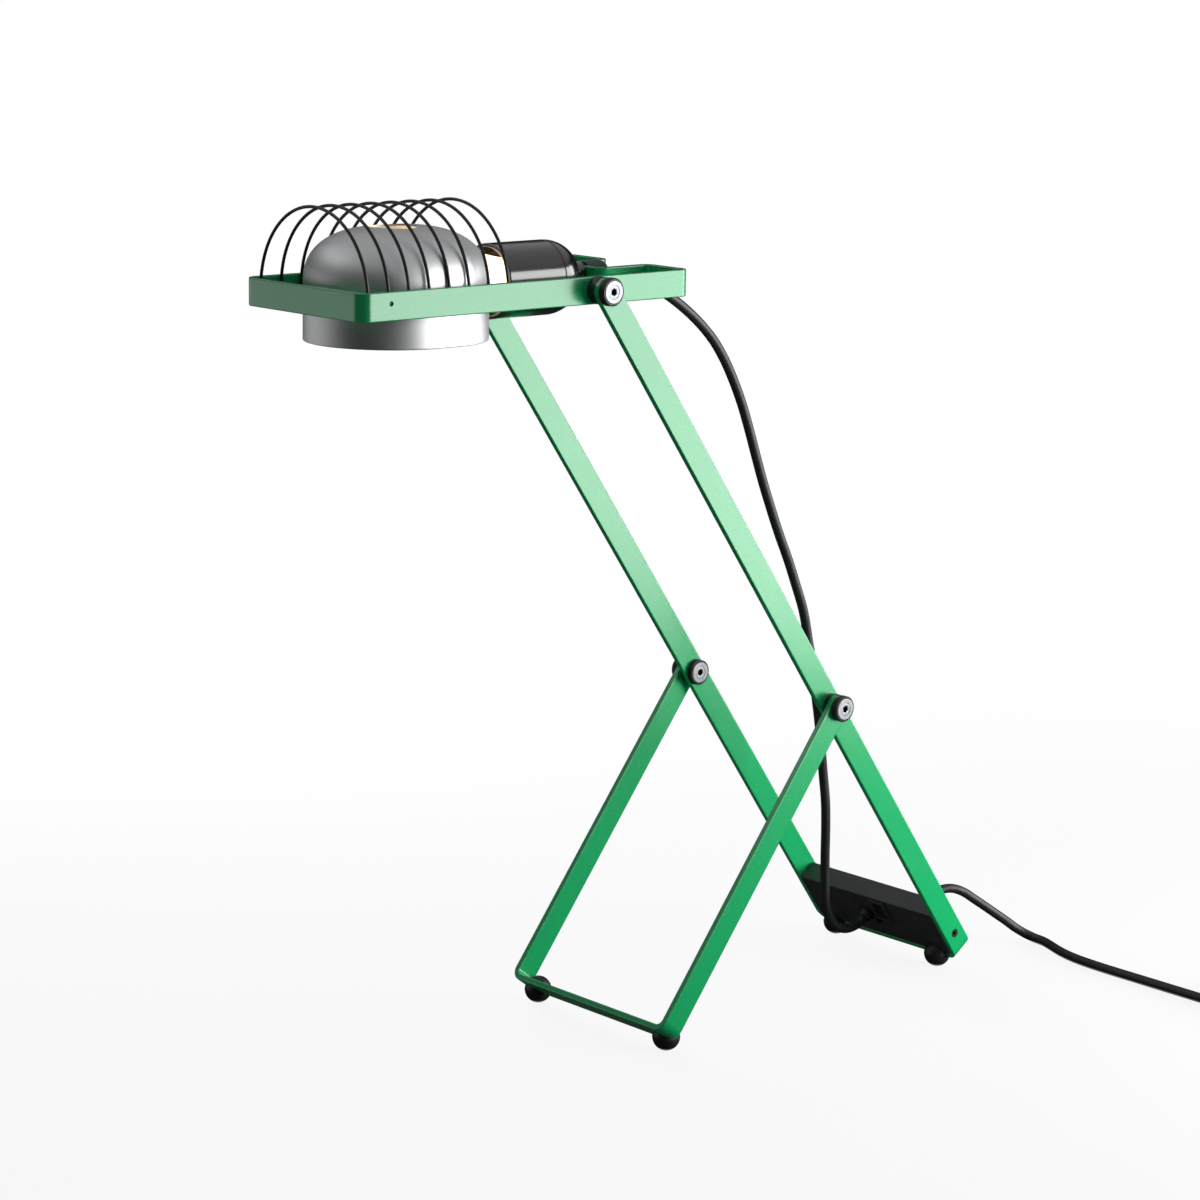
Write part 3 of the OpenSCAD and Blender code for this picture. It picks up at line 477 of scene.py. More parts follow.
def bareMetal(name, light, dim, rough):
    # Bright rolled or pressed sheet: a soft shine with handling marks.
    return surface(name, {"tones": (light, dim), "noise": ((3.0, 4.0),),
                          "gloss": (rough - 0.06, rough + 0.1)}, {"Metallic": 1.0})


# Stoved polyester lacquer on bent steel strip: a closed satin film, faint orange peel, slightly uneven gloss.
lacquer = surface("stovedLacquer", {
    "tones": ("#02AE66", "#02A25E"), "noise": ((45.0, 3.0), (2.4, 2.0)), "gloss": (0.26, 0.28),
    "bump": (0.04, 0.03)}, {"IOR": 1.5, "Coat Weight": 0.8, "Coat Roughness": 0.2})
# Pressed phenolic resin of the lampholder: deep black, polished by its mould, flow marks along its length.
phenolic = surface("pressedPhenolic", {
    "tones": ("#0C0C0D", "#1B1A1A"), "noise": ((6.0, 4.0),), "stretch": (1.0, 0.25, 1.0),
    "gloss": (0.16, 0.26), "bump": (0.1, 0.03)}, {"IOR": 1.58, "Coat Weight": 1.0, "Coat Roughness": 0.1})
# Turned, plated steel: fine rings from the lathe tool, drawn coarser than real. The hexagon socket, which
# comes last along the profile, is painted near black: painted shade of the deep socket.
steel = surface("turnedSteel", {
    "tones": ("#9FA0A3", "#87888B", "#141415"), "noise": ((2.5, 4.0),), "rings": (0.35, 1.0),
    "deep": (17.0, 17.4), "gloss": (0.42, 0.56), "bump": (0.25, 0.02)}, {"Metallic": 1.0})
# Zinc-plated steel fasteners: a slightly mottled, soft shine.
zinc = surface("zincSteel", {
    "tones": ("#D4D6D8", "#A9ABAE"), "noise": ((1.8, 5.0),), "gloss": (0.28, 0.5)}, {"Metallic": 1.0})
# Spun aluminium, bead-blasted and anodised: an even silver satin, with the spinning lines just showing.
aluminium = surface("satinAluminium", {
    "tones": ("#DADBDC", "#CCCDCF"), "noise": ((30.0, 3.0), (0.5, 3.0)), "rings": (1.4, 0.12),
    "gloss": (0.46, 0.58), "bump": (0.2, 0.03)}, {"Metallic": 1.0})
# Drawn steel wire, black stove enamel: smooth and satin, with faint drawing marks.
wireEnamel = surface("enamelledWire", {
    "tones": ("#0B0B0C", "#191A1B"), "noise": ((1.2, 3.0),), "gloss": (0.30, 0.42)}, {"IOR": 1.5})
# Opal glass of the bulb, lit: a warm even glow from the white flashed layer under a polished skin.
opal = surface("opalGlass", {"tones": ("#FFF4DF", "#FBE9C9"), "noise": ((25.0, 2.0),)}, {
    "Roughness": 0.16, "IOR": 1.5, "Emission Color": ink("#FFDFB6"), "Emission Strength": 2.4})
# Steatite of the lampholder's insert: white, dense, with a thin glaze.
steatite = surface("glazedSteatite", {"tones": ("#F4F1E8", "#E6E1D4"), "noise": ((0.8, 3.0),)}, {
    "Roughness": 0.22, "IOR": 1.6})
# Extruded rubber sheath: satin black, with faint drag lines along it and a slow ripple from the laid cores.
sheath = surface("cordSheath", {
    "tones": ("#151516", "#2A2A2B"), "noise": ((1.5, 5.0),), "rings": (38.0, 0.4), "gloss": (0.34, 0.5),
    "bump": (0.25, 0.04)}, {"IOR": 1.5})
rubber = moulded("mouldedRubber", "#121213", "#242425", 0.42, 0.6, 0.04)
nylon = moulded("filledNylon", "#161617", "#2A2A2B", 0.40, 0.5, 0.05)
boxPlastic = moulded("mouldedAbs", "#2B2B2E", "#3D3D41", 0.38, 0.7, 0.04)
plugPlastic = moulded("mouldedPvc", "#161617", "#252526", 0.45, 0.6, 0.03)
blackedSteel = moulded("blackenedSteel", "#060607", "#0F0F10", 0.55, 0.8, 0.03)
rockerPlastic = moulded("polishedAbs", "#0E0E0F", "#191919", 0.22, 1.2, 0.02)
capMetal = bareMetal("rolledAluminium", "#D8D8D9", "#B9B9BB", 0.3)
brass = bareMetal("pressedBrass", "#D9B45F", "#B58E3F", 0.26)
print("materials made:", len(bpy.data.materials))


def dress(piece, material, body, nodes):
    # the piece takes its finish, rides on its body, and stands for its solids
    piece.data.materials.append(material)
    if body:
        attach(piece, body)
    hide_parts(*nodes.split())
    return piece


def make(name, material, body, nodes, shapes, where=asIs, cuts=()):
    # the shapes go to their place, and each group of cuts is taken out of them
    piece = makeObject(name, placed(shapes, where))
    for group in cuts:
        cutAway(piece, placed(group, where))
    return dress(piece, material, body, nodes)


# cords: each route is a given list, in mm, and moves along with the ends that it hangs from
flex = {"d": 6.5, "sides": 20, "between": 3, "glandEnd": 54.2, "x": -6.0, "z": 21.0, "glandLen": 6.0,
        "up": 2.5, "inside": 4.0, "blend": (3, 33)}
flexRoute = [
    [0, -18, 491.2], [0, -6, 488.8], [0, 6, 484.6], [0, 18, 479], [0, 30, 472.4], [0, 43, 464], [0, 56, 454],
    [0, 68, 442.5], [0, 78, 429.5], [0, 87, 414.5], [0, 95, 398.5], [0, 102, 381.5], [0, 109, 363],
    [0, 116, 345], [0, 124, 326.5], [0, 132, 309], [0, 141, 291], [0, 149, 273], [0, 157, 254],
    [-1, 163, 235], [-1, 168, 215], [-2, 173, 195], [-2, 177, 175], [-3, 181, 155], [-4, 185, 135],
    [-4, 188, 115], [-5, 190, 95], [-6, 191.2, 76], [-6, 191.8, 60], [-6, 192.2, 47.5], [-6, 194.3, 36.5],
    [-6, 199.5, 27.5], [-6, 206.8, 21.6], [-6, 214.5, 19.4], [-6, 221.5, 19.7],
]
flexTop, flexFoot = np.array([0, -30, 491.7]), np.array([-6, 230.8, 24])


def flexPath(f):
    # each point moves by its share of what the two ends have moved
    start = np.array([0, headY + f["glandEnd"], headZ + f["up"]])
    tip = boxFront - f["glandLen"]
    nose, inner = onLong([[f["x"], tip, boxZ + f["z"]], [f["x"], tip - f["inside"], boxZ + f["z"]]])
    route = np.array(flexRoute, float)
    s = (np.arange(len(route)) / (len(route) - 1))[:, None]
    route = route + (1 - s) * (start - flexTop) + s * (nose - flexFoot)
    return smoothPath(np.concatenate([[start], route, [inner, nose]]), f["between"])


flexLine = flexPath(flex)
headFlex = make("headFlex", sheath, None, "head_flex",
                [tube(flexLine, flex["d"] / 2, flex["sides"], [1, 0, 0])])
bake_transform(headFlex)

lead = {"d": 6.5, "sides": 16, "between": 3, "x": 22.0, "z": 8.5, "glandLen": 20.0, "outside": 4.0,
        "dropPoints": 9}
leadRoute = [
    [23, 281, 41.8], [25.8, 288.5, 41.9], [29.2, 296, 38.9], [33, 304, 33], [36.5, 312, 27], [39.5, 320, 21],
    [42.5, 328, 15], [46, 334.5, 9.5], [51, 339.5, 5.6], [57.5, 342, 3.6], [65, 341.8, 3.3], [74, 338.8, 3.3],
    [88, 333, 3.3], [104, 328.6, 3.3], [122, 326.6, 3.3], [140, 326, 3.3], [158, 326, 3.3], [176, 326, 3.3],
    [194, 326, 3.3], [212, 326, 3.3], [230, 326, 3.3],
]
leadTop = np.array([22, 271.8, 36.9])
coil = {"x": 258.0, "y": 371.0, "z": 3.3, "r": 45.0, "pitch": 7.05, "layer": 7.05, "dip": 1.0,
        "turnsIn": 3.0, "turnsClimb": 0.5, "turnsOut": 2.75, "perTurn": 48, "tail": 52.0, "tailSteps": 9}


def coilPoints(c):
    # in along a spiral on the floor, half a turn to climb, and out again on top of it
    whole = c["turnsIn"] + c["turnsClimb"] + c["turnsOut"]
    turns = np.linspace(0, whole, round(whole * c["perTurn"]) + 1)
    climbed = np.clip((turns - c["turnsIn"]) / c["turnsClimb"], 0, 1)
    inner = c["r"] - c["turnsIn"] * c["pitch"]
    out = np.maximum(turns - c["turnsIn"] - c["turnsClimb"], 0) * c["pitch"]
    upper = inner - c["dip"] * np.sin(math.pi * climbed) + out
    r = np.where(turns < c["turnsIn"], c["r"] - turns * c["pitch"], upper)
    a = 2 * math.pi * turns - math.pi / 2
    return np.stack([c["x"] + r * np.cos(a), c["y"] + r * np.sin(a), c["z"] + c["layer"] * climbed], -1)


def leadPath(v, c):
    # the route drops to the floor, runs to the coil, and leaves it in a straight tail that sinks as a cosine
    tip = boxRear + v["glandLen"]
    nose, outer = onLong([[v["x"], tip, boxZ + v["z"]], [v["x"], tip + v["outside"], boxZ + v["z"]]])
    route = np.array(leadRoute, float)
    share = np.maximum(0, 1 - np.arange(len(route)) / v["dropPoints"])[:, None]
    wound = coilPoints(c)
    s = np.linspace(0, 1, c["tailSteps"])[:, None]
    straight = wound[-1] + np.array([0, v["d"], 0])
    tail = straight + np.concatenate([0 * s, v["d"] + (c["tail"] - 2 * v["d"]) * s,
                                      -c["layer"] * (1 - np.cos(math.pi * s)) / 2], 1)
    last = straight + np.array([0, c["tail"], -c["layer"]])
    run = np.concatenate([[nose, outer], route + share * (nose - leadTop), [wound[0] - [v["d"], 0, 0]]])
    return np.concatenate([smoothPath(run, v["between"]), wound, [straight], tail, [last]])


leadLine = leadPath(lead, coil)
mainsLead = make("mainsLead", sheath, "stand", "mains_lead mains_coil mains_tail",
                 [tube(leadLine, lead["d"] / 2, lead["sides"], [0, 0, 1])])

gland = {"inside": 4.0, "flange": 12.0, "flangeT": 2.0, "tip": 8.4, "taper": 0.8, "dent": 0.45, "soft": 0.5}


def glandProfile(v, length, ribs):
    # a strain relief: a plug in the wall, a flange, and a nose that tapers to the cord, ribbed if it is long
    k = np.arange(2 * ribs + 2)
    s = k / (2 * ribs + 1)
    r, t = v["tip"] / 2, v["flangeT"]
    dents = np.where(k % 2 == 1, v["dent"] if ribs > 1 else 0.0, 0.0)
    dents[-1] = 0
    nose = np.stack([r + v["taper"] * (1 - s) - dents, t + (length - t) * s], 1)
    start = [[0, -v["inside"]], [r, -v["inside"]], [r, 0], [v["flange"] / 2, 0], [v["flange"] / 2, t]]
    return softened(np.concatenate([start, nose, [[0, length]]]), v["soft"], 3)


def makeGland(name, node, cord, wall, out, ribs):
    # out is 1 or -1, the way that the nose points from the wall
    profile = glandProfile(gland, cord["glandLen"], ribs) * [1, out]
    middle = (cord["x"], wall, boxZ + cord["z"])
    return make(name, rubber, "stand", node, [lathe(profile, "y", middle)], onLong)


leadGland = makeGland("leadGland", "lead_gland", lead, boxRear, 1, 5)
makeGland("flexGland", "flex_gland", flex, boxFront, -1, 1)

plug = {"t": 13.5, "l": 36.0, "collar": 8.0, "pinApart": 19.0, "pinUp": 6.8, "pinD": 4.0, "tipD": 3.8,
        "pinL": 19.0, "sleeve": 10.0, "sides": 64, "lift": 0.05}


def plugShape(v):
    # sections along the plug go from the round collar to a flat oblong: |x/a|^n + |z/b|^n = 1, n from 2 to 5
    y = np.array([0, 0.3, 3, 8, 12, 16, 20, 23, 26, 30, v["l"] - 1.2, v["l"] - 0.4, v["l"]])
    halfX = np.array([3.6, 4, 4, 4.6, 7, 11, 14.4, 16.2, 17, 17.4, 17.5, 17.1, 16.2])
    halfZ = np.array([3.6, 4, 4, 4.4, 5.2, 6, 6.4, 6.6, 6.7, 6.75, 6.75, 6.4, 5.6])
    power = np.interp(y, [0, 8, 26, v["l"]], [2, 2, 4.5, 5])[:, None]
    t = 2 * math.pi * np.arange(v["sides"]) / v["sides"]
    c, s = np.cos(t)[None], np.sin(t)[None]
    r = (np.abs(c) ** power + np.abs(s) ** power) ** (-1 / power)
    top = v["t"] / 2 + v["lift"]
    low = np.interp(y, [0, 8, 20, v["l"]], [v["collar"] / 2 + v["lift"], 4.4, top, top])
    low = np.maximum(low, halfZ + v["lift"])
    high = low[:, None] + halfZ[:, None] * r * s
    return skin(np.stack([halfX[:, None] * r * c, np.repeat(y[:, None], v["sides"], 1), high], -1), caps=True)


def onPlug(points):
    return points + [leadLine[-1][0], leadLine[-1][1], 0.0]


pinPlaces = [(k * plug["pinApart"] / 2, 0, plug["pinUp"]) for k in (-1, 1)]
sleeveEnd = plug["l"] + plug["sleeve"]
plugBody = make("plugBody", plugPlastic, "stand", "plug_body", [plugShape(plug)] + [
    rod(plug["pinD"], plug["l"] - 1, sleeveEnd, "y", place, 32) for place in pinPlaces], onPlug)
plugPins = make("plugPins", steel, "stand", "plug_pins", [
    rod(plug["tipD"], sleeveEnd - 1, plug["l"] + plug["pinL"], "y", place, 32, [0, 0, 1.2, 0], 5)
    for place in pinPlaces], onPlug)
print("cords laid, in mm:", [round(float(lengthAlong(line)[-1])) for line in (flexLine, leadLine)])

# frames
holes = {"bore": 8.1, "screw": 6.2, "screwUp": 15.0, "pin": 3.0, "pinBack": 22.0, "pinUp": 1.6,
         "nipple": 10.2, "nippleUp": 2.5, "reach": 90.0}
midR = lamp["bendR"] + stripT / 2


def through(d, y=0.0, z=0.0):
    # a hole from side to side of the lamp
    return rod(d, -holes["reach"], holes["reach"], middle=(0, y, z))


def uFrame(halfWidth, top, bottom, slip=0.0):
    # two arms and the crossbar between them; the slip makes the strip that much wider and thicker
    cx = halfWidth - stripT / 2
    corners = [[-cx, top], [-cx, -bottom], [cx, -bottom], [cx, top]]
    points, faces, run = bentStrip(corners, [0, midR, midR, 0], stripW + slip, stripT + slip, lamp["edgeR"])
    return points[:, [0, 2, 1]], faces, run


make("longFrame", lacquer, "stand", "long_frame", [uFrame(longOut, longUpper, longLower)], onLong, [[
    through(holes["bore"]), through(holes["bore"], z=longUpper),
    through(holes["screw"], z=boxZ + holes["screwUp"])]])
make("shortFrame", lacquer, "legs", "short_frame", [uFrame(shortOut, 0.0, shortLen)], onShort, [[
    through(holes["bore"])]])

notch = {"w": 35.0, "d": 39.0, "r": 3.0}


def headRing(v):
    # a closed ring of strip whose rear wall steps forward round the lampholder's notch
    t = stripT / 2
    half, front, rear = headOut - t, -headFront + t, headRear - t
    nx, ny = v["w"] / 2 + t, headRear - v["d"] - t
    corners = [[-half, front], [half, front], [half, rear], [nx, rear], [nx, ny], [-nx, ny], [-nx, rear],
               [-half, rear]]
    return bentStrip(corners, [midR, midR] + [v["r"] + t] * 6, stripW, stripT, lamp["edgeR"], closed=True)


crossWall = headRear - notch["d"]
make("headFrame", lacquer, "head", "head_frame", [headRing(notch)], onHead, [[
    through(holes["bore"]), through(holes["pin"], -headFront + holes["pinBack"], holes["pinUp"]),
    rod(holes["nipple"], crossWall - 6, crossWall + 1, "y", (0, 0, holes["nippleUp"]))]])
print("frames bent")

# feet
foot = {"frontX": 63.0, "rearX": 49.0, "slip": 0.1, "line": 0.12, "lineWide": 3.0, "steps": 30}


def ball(v):
    # a ball with a flat underneath and the fine ridge of its mould round the middle: exp(-(angle / width)^2)
    r, flat = lamp["footD"] / 2, lamp["footFlat"]
    a = np.linspace(math.asin((flat - r) / r), math.pi / 2, v["steps"])
    ridge = r + v["line"] * np.exp(-(np.degrees(a) / v["lineWide"]) ** 2)
    arc = np.stack([ridge * np.cos(a), r - flat + ridge * np.sin(a)], 1)
    arc[-1, 0] = 0
    return lathe(np.concatenate([[[0, 0]], arc]), "z")


def footPair(name, x, off, bar, halfWidth, where, body, node):
    # two balls on the floor under the crossbar, each slit for the strip
    points, faces, run = ball(foot)
    balls = [(points + [c[0], c[1], 0], faces, run) for c in where([[x, off, -bar], [-x, off, -bar]])]
    slit = placed([uFrame(halfWidth, 0.0, bar, foot["slip"])], where)
    make(name, rubber, body, node, balls, asIs, [slit])


footPair("frontFeet", foot["frontX"], footOff, shortLen, shortOut, onShort, "legs", "front_feet")
footPair("rearFeet", foot["rearX"], -footOff, longLower, longOut, onLong, "stand", "rear_feet")
print("feet moulded")

# pivots
pivot = {"capD": 17.5, "capH": 5.0, "innerH": 4.0, "faceD": 14.5, "faceT": 2.0, "socket": 4.0,
         "spacerD": 17.0, "gap": 0.1, "washer": 1.5, "ribs": 3, "rib": 0.55, "ribFrom": 0.6, "ribEdge": 0.4,
         "shoulder": 0.9, "proud": 0.3, "boreR": 4.2, "ringR": 4.1, "shankD": 5.0, "shankFrom": -8.0,
         "shankTo": 0.8, "sleeveD": 8.0, "midSleeve": 4.5, "headSleeve": 1.0, "soft": 0.3}


def ribbedCap(v, x, height, seat, out):
    # rounded ribs round a short drum, |cos|^0.5 along it; out is 1 or -1, the way that its seat looks
    r, n, e = v["capD"] / 2, v["ribs"], v["ribEdge"]
    a = np.linspace(0, 1, 10 * n + 1)
    wave = v["rib"] * np.abs(np.cos(math.pi * n * (a - 0.5 / n))) ** 0.5
    side = np.stack([r - v["ribFrom"] + wave, a * (height - 2 * e) + e], 1)
    seatR = v["faceD"] / 2 + v["gap"]
    p = np.concatenate([[[v["boreR"], 0], [r - v["shoulder"], 0]], side,
                        [[r - v["shoulder"], height], [seatR, height], [seatR, height - seat],
                         [v["boreR"], height - seat]]])
    p[:, 1] = x + out * p[:, 1]
    return lathe(p, "x", closed=True)


def steelFace(v, x, out):
    # a turned disc: chamfered rim, a shallow ring round the middle, and a hexagon socket
    r, t, corner = v["faceD"] / 2, v["faceT"], v["socket"] / 2 / math.cos(math.pi / 6)
    p = np.array([[0, -2.6], [2.9, -2.6], [2.9, 0], [r, 0], [r, t - 0.45], [r - 0.15, t - 0.2], [r - 0.5, t],
                  [r - 0.7, t], [4.6, t], [4.45, t], [4.2, t - 0.25], [3.95, t - 0.25], [3.5, t - 0.15],
                  [corner + 0.25, t - 0.15], [corner, t - 0.3], [corner, t - 0.4], [corner, t - 4.0],
                  [corner - 0.05, t - 4.05], [0, t - 4.1]])
    hexed = np.zeros(len(p), bool)
    hexed[13:18] = True  # the rows of the socket
    p[:, 1] = x + out * p[:, 1]
    return lathe(p, "x", hexRows=hexed)


def spacerRing(v, x0, x1):
    # a ring of oblong section with soft edges, from x0 to x1
    r, bore = v["spacerD"] / 2, v["ringR"]
    corners = [[bore, x0], [r, x0], [r, x1], [bore, x1], [bore, x0], [r, x0]]
    return lathe(softened(corners, v["soft"], 3)[1:-1], "x", closed=True)


def onHeadPivot(points):
    return onLong(points + [0, 0, longUpper])


seat = pivot["faceT"] - pivot["proud"]
gap = pivot["gap"]
for kind, where, capX, spacerX in (("mid", onLong, shortOut + gap, (longOut, shortIn - gap)),
                                   ("head", onHeadPivot, longOut, (headOut + gap, longIn))):
    face = steelFace(pivot, capX + pivot["capH"] - seat, 1)
    make(kind + "OuterCaps", nylon, "stand", kind + "_outer_caps",
         bothSides(ribbedCap(pivot, capX, pivot["capH"], seat, 1)), where)
    make(kind + "Bolts", steel, "stand", kind + "_bolts",
         bothSides(face, rod(pivot["shankD"], capX + pivot["shankFrom"], capX + pivot["shankTo"])), where)
    make(kind + "Spacers", nylon, "stand", kind + "_spacers", bothSides(spacerRing(pivot, *spacerX)), where)
make("midInnerCaps", nylon, "stand", "mid_inner_caps",
     bothSides(ribbedCap(pivot, longIn, pivot["innerH"], seat, -1)), onLong)
nutX = longIn - pivot["innerH"] - pivot["proud"]
face = steelFace(pivot, nutX + pivot["faceT"], -1)
make("midNuts", steel, "stand", "mid_sleeve_nuts",
     bothSides(face, rod(pivot["sleeveD"], nutX + pivot["midSleeve"], shortOut)), onLong)
washerX = headIn - gap
make("headWashers", nylon, "stand", "head_washers",
     bothSides(spacerRing(pivot, washerX - pivot["washer"], washerX)), onHeadPivot)
face = steelFace(pivot, washerX - pivot["washer"], -1)
make("headNuts", steel, "stand", "head_sleeve_nuts",
     bothSides(face, rod(pivot["sleeveD"], washerX + pivot["headSleeve"], longOut)), onHeadPivot)
print("pivots fitted")

# switch box
box = {"h": 39.5, "wall": 2.2, "cover": 2.0, "edge": 0.6, "slip": 0.1, "skin": 0.05, "glandHole": 8.6,
       "recessX": 20.0, "recessW": 36.0, "recessUp": 19.5, "recessH": 13.5, "recessDepth": 0.4,
       "clampX": 2.5, "clampUp": 15.5, "screwX": 48.7, "screwHole": 3.2, "sideHole": 5.2}
switch = {"x": 10.0, "up": 28.0, "cut": (6.5, 8.5), "bezel": (7.7, 9.7), "well": (6.4, 8.4),
          "pocket": (4.8, 7.0), "bezelT": 1.2, "wellIn": 9.2, "pocketIn": 8.2}
boxTop = boxZ + box["h"]
switchX, switchZ = switch["x"], boxZ + switch["up"]


def plate(x0, x1, z0, z1, y0, y1, r, edge):
    # a block over an oblong of x and z, from y0 to y1
    return block([[x0, z0], [x1, z0], [x1, z1], [x0, z1]], r, y0, y1, edge)


def shell(inset, y0, y1, edge, low, high):
    # the box's outline, smaller by the inset all round; low and high are its corner radii
    half = longIn - inset
    return plate(-half, half, boxZ + inset, boxTop - inset, y0, y1, [low, low, high, high], edge)


def aroundSwitch(half, y0, y1, r, edge):
    # a plate with the switch in its middle; half is half its width and half its height
    return plate(switchX - half[0], switchX + half[0], switchZ - half[1], switchZ + half[1], y0, y1, r, edge)


def boxHole(d, wall, x, up):
    # a hole through the front or rear wall of the box; it reaches past the wall on both sides
    return rod(d, wall - 4, wall + 4, "y", (x, 0, boxZ + up))


make("switchBox", boxPlastic, "stand", "base_shell", [
    plate(box["skin"] - longIn, longIn - box["skin"], boxZ + box["skin"], boxTop, boxFront, boxRear,
          [3.2, 3.2, 0.9, 0.9], box["edge"])], onLong, [
    [shell(box["wall"], boxFront + box["wall"], boxRear + 2, 0.2, 1.4, 0.5)],
    [aroundSwitch(switch["cut"], boxFront - 1, boxFront + 3, 0.6, 0.2),
     boxHole(box["glandHole"], boxFront, flex["x"], flex["z"]),
     boxHole(box["screwHole"], boxFront, box["clampX"], box["clampUp"]),
     plate(box["recessX"], box["recessX"] + box["recessW"], boxZ + box["recessUp"],
           boxZ + box["recessUp"] + box["recessH"], boxFront - 1, boxFront + box["recessDepth"], 1.2, 0.15),
     through(box["sideHole"], z=boxZ + holes["screwUp"])]])
make("boxCover", boxPlastic, "stand", "base_cover", [
    shell(box["wall"] + box["slip"], boxRear - box["cover"], boxRear, 0.3, 1.3, 0.5)], onLong, [
    [boxHole(box["glandHole"], boxRear, lead["x"], lead["z"])]
    + [boxHole(box["screwHole"], boxRear, k * box["screwX"], box["h"] / 2) for k in (-1, 1)]])


def openBlock(name, half, y0, y1, r, edge):
    # a block round the switch, with the rocker's pocket cut into it
    piece = makeObject(name, placed([aroundSwitch(half, y0, y1, r, edge)], onLong))
    pocket = aroundSwitch(switch["pocket"], boxFront - 3, boxFront + switch["pocketIn"], 0.4, 0.1)
    cutAway(piece, placed([pocket], onLong))
    return piece


switchHousing = openBlock("switchHousing", switch["bezel"], boxFront - switch["bezelT"], boxFront, 1.0, 0.4)
well = openBlock("switchWell", switch["well"], boxFront - 0.3, boxFront + switch["wellIn"], 0.6, 0.2)
joined = bmesh.new()
joined.from_mesh(switchHousing.data)
joined.from_mesh(well.data)
joined.to_mesh(switchHousing.data)
joined.free()
bpy.data.objects.remove(well)
smoothed(switchHousing.data)
dress(switchHousing, boxPlastic, "stand", "switch_housing")

rocker = {"w": 9.0, "h": 13.0, "proud": 1.8, "deep": 4.0, "dish": 0.5, "tilt": 7.0, "axle": 2.0, "stub": 1.1,
          "axleIn": 0.6}


def rockerShape(v):
    # two faces that meet in a shallow valley, on a wedge that narrows behind
    h, p, half = v["h"], v["proud"], v["w"] / 2
    corners = [[v["deep"], -h / 4], [v["deep"], h / 4], [-p, h / 2], [v["dish"] - p, 0], [-p, -h / 2]]
    body = block(corners, [0.3, 0.3, 0.5, 0, 0.5], -half, half, 0.3, axes="yzx")
    return [body, rod(v["axle"], -half - v["stub"], half + v["stub"], sides=24)]


def onRocker(points):
    tilt = -math.radians(rocker["tilt"])
    return onLong(turned(points + [switchX, 0, 0], tilt, boxFront + rocker["axleIn"], switchZ))


make("switchRocker", rockerPlastic, "rocker", "switch_rocker", rockerShape(rocker), onRocker)
print("box closed")

# lampholder and bulb
holder = {"d": 46.5, "front": 40.0, "shoulder": 5.0, "wall": 2.4, "seam": 0.4, "up": 2.5, "shoulderEnd": 24.0,
          "bossD": 18.0, "nubR": 8.0, "nubEnd": 54.0, "spigot": 3.0, "sides": 72}
axisUp = (0, 0, holder["up"])


def holderShellProfile(v):
    # a tube whose outer edge steps in twice at the shoulder, which leaves the seam
    r, w, s, rear = v["d"] / 2, v["wall"], v["seam"], v["shoulder"]
    corners = [[r - w, -v["front"]], [r, -v["front"]], [r, rear - 2 * s], [r - s, rear - s], [r - s, rear],
               [r - w, rear]]
    return softened(corners + corners[:2], [0, 1.2, 0.25, 0.1, 0.1, 0.2, 0.9, 0], 5)[1:-1]


def holderCapProfile(v):
    # a quarter of an ellipse from the shell's radius in to the boss, rounded where it meets the boss
    r, front, boss, rear = v["d"] / 2, v["shoulder"], v["bossD"] / 2, crossWall - stripT
    inner = r - v["wall"] - 0.1
    a = np.radians(np.linspace(2, 84, 16))
    arc = np.stack([boss + (r - boss) * np.cos(a), front + (v["shoulderEnd"] - front) * np.sin(a)], 1)
    start = np.array([[0, front - v["spigot"]], [inner, front - v["spigot"]], [inner, front],
                      [r - 0.35, front], [r, front + 0.3]])
    end = np.array([[boss + 0.15, v["shoulderEnd"] + 0.35], [boss, v["shoulderEnd"] + 1.0],
                    [boss, rear - 0.6], [boss - 0.6, rear], [0, rear]])
    return np.concatenate([start, arc, end])


make("holderShell", phenolic, "head", "holder_shell",
     [lathe(holderShellProfile(holder), "y", axisUp, holder["sides"], closed=True)], onHead)
make("holderCap", phenolic, "head", "holder_cap",
     [lathe(holderCapProfile(holder), "y", axisUp, holder["sides"])], onHead)
nubEnd, cordHole = holder["nubEnd"], flex["d"] / 2 + 0.1
nubCorners = [[0, crossWall], [holder["nubR"], crossWall], [holder["nubR"], nubEnd], [cordHole, nubEnd],
              [0, nubEnd - 0.5]]
make("holderNub", nylon, "head", "holder_gland",
     [lathe(softened(nubCorners, [0, 0.4, 3.0, 0.3, 0], 6), "y", axisUp)], onHead)

bulb = {"d": 60.0, "globeY": -81.0, "neckY": -28.0, "neckR": 14.0, "join": 38.0, "leave": 16.0,
        "arrive": (-0.5, 12.0), "sides": 64}


def bulbProfile(v):
    # the globe's circle runs to the join angle, then a cubic neck narrows to the cap
    r = v["d"] / 2
    a = np.radians(np.linspace(-90, v["join"], 40))
    globe = np.stack([r * np.cos(a), v["globeY"] + r * np.sin(a)], 1)
    globe[0, 0] = 0
    s = np.linspace(0, 1, 14)[1:, None]
    leave = np.array([-math.sin(a[-1]), math.cos(a[-1])]) * v["leave"]
    neck = cubic(s, globe[-1], np.array([v["neckR"], v["neckY"]]), leave, np.array(v["arrive"]))
    return np.concatenate([globe, neck, [[0, v["neckY"]]]])


make("bulbGlass", opal, "head", "bulb_glass", [lathe(bulbProfile(bulb), "y", axisUp, bulb["sides"])], onHead)
print("lampholder and bulb in")

# reflector
shade = {"len": 114.0, "gap": 3.0, "ahead": 109.5, "down": 28.0, "spring": 6.0, "up": 40.0, "wall": 1.2,
         "vent": 30.0, "ventAhead": 3.0, "neck": 47.0, "stud": 4.2, "studZ": -5.5, "power": 2 / 2.4,
         "steps": 40, "sides": 48, "lipSteps": 7}


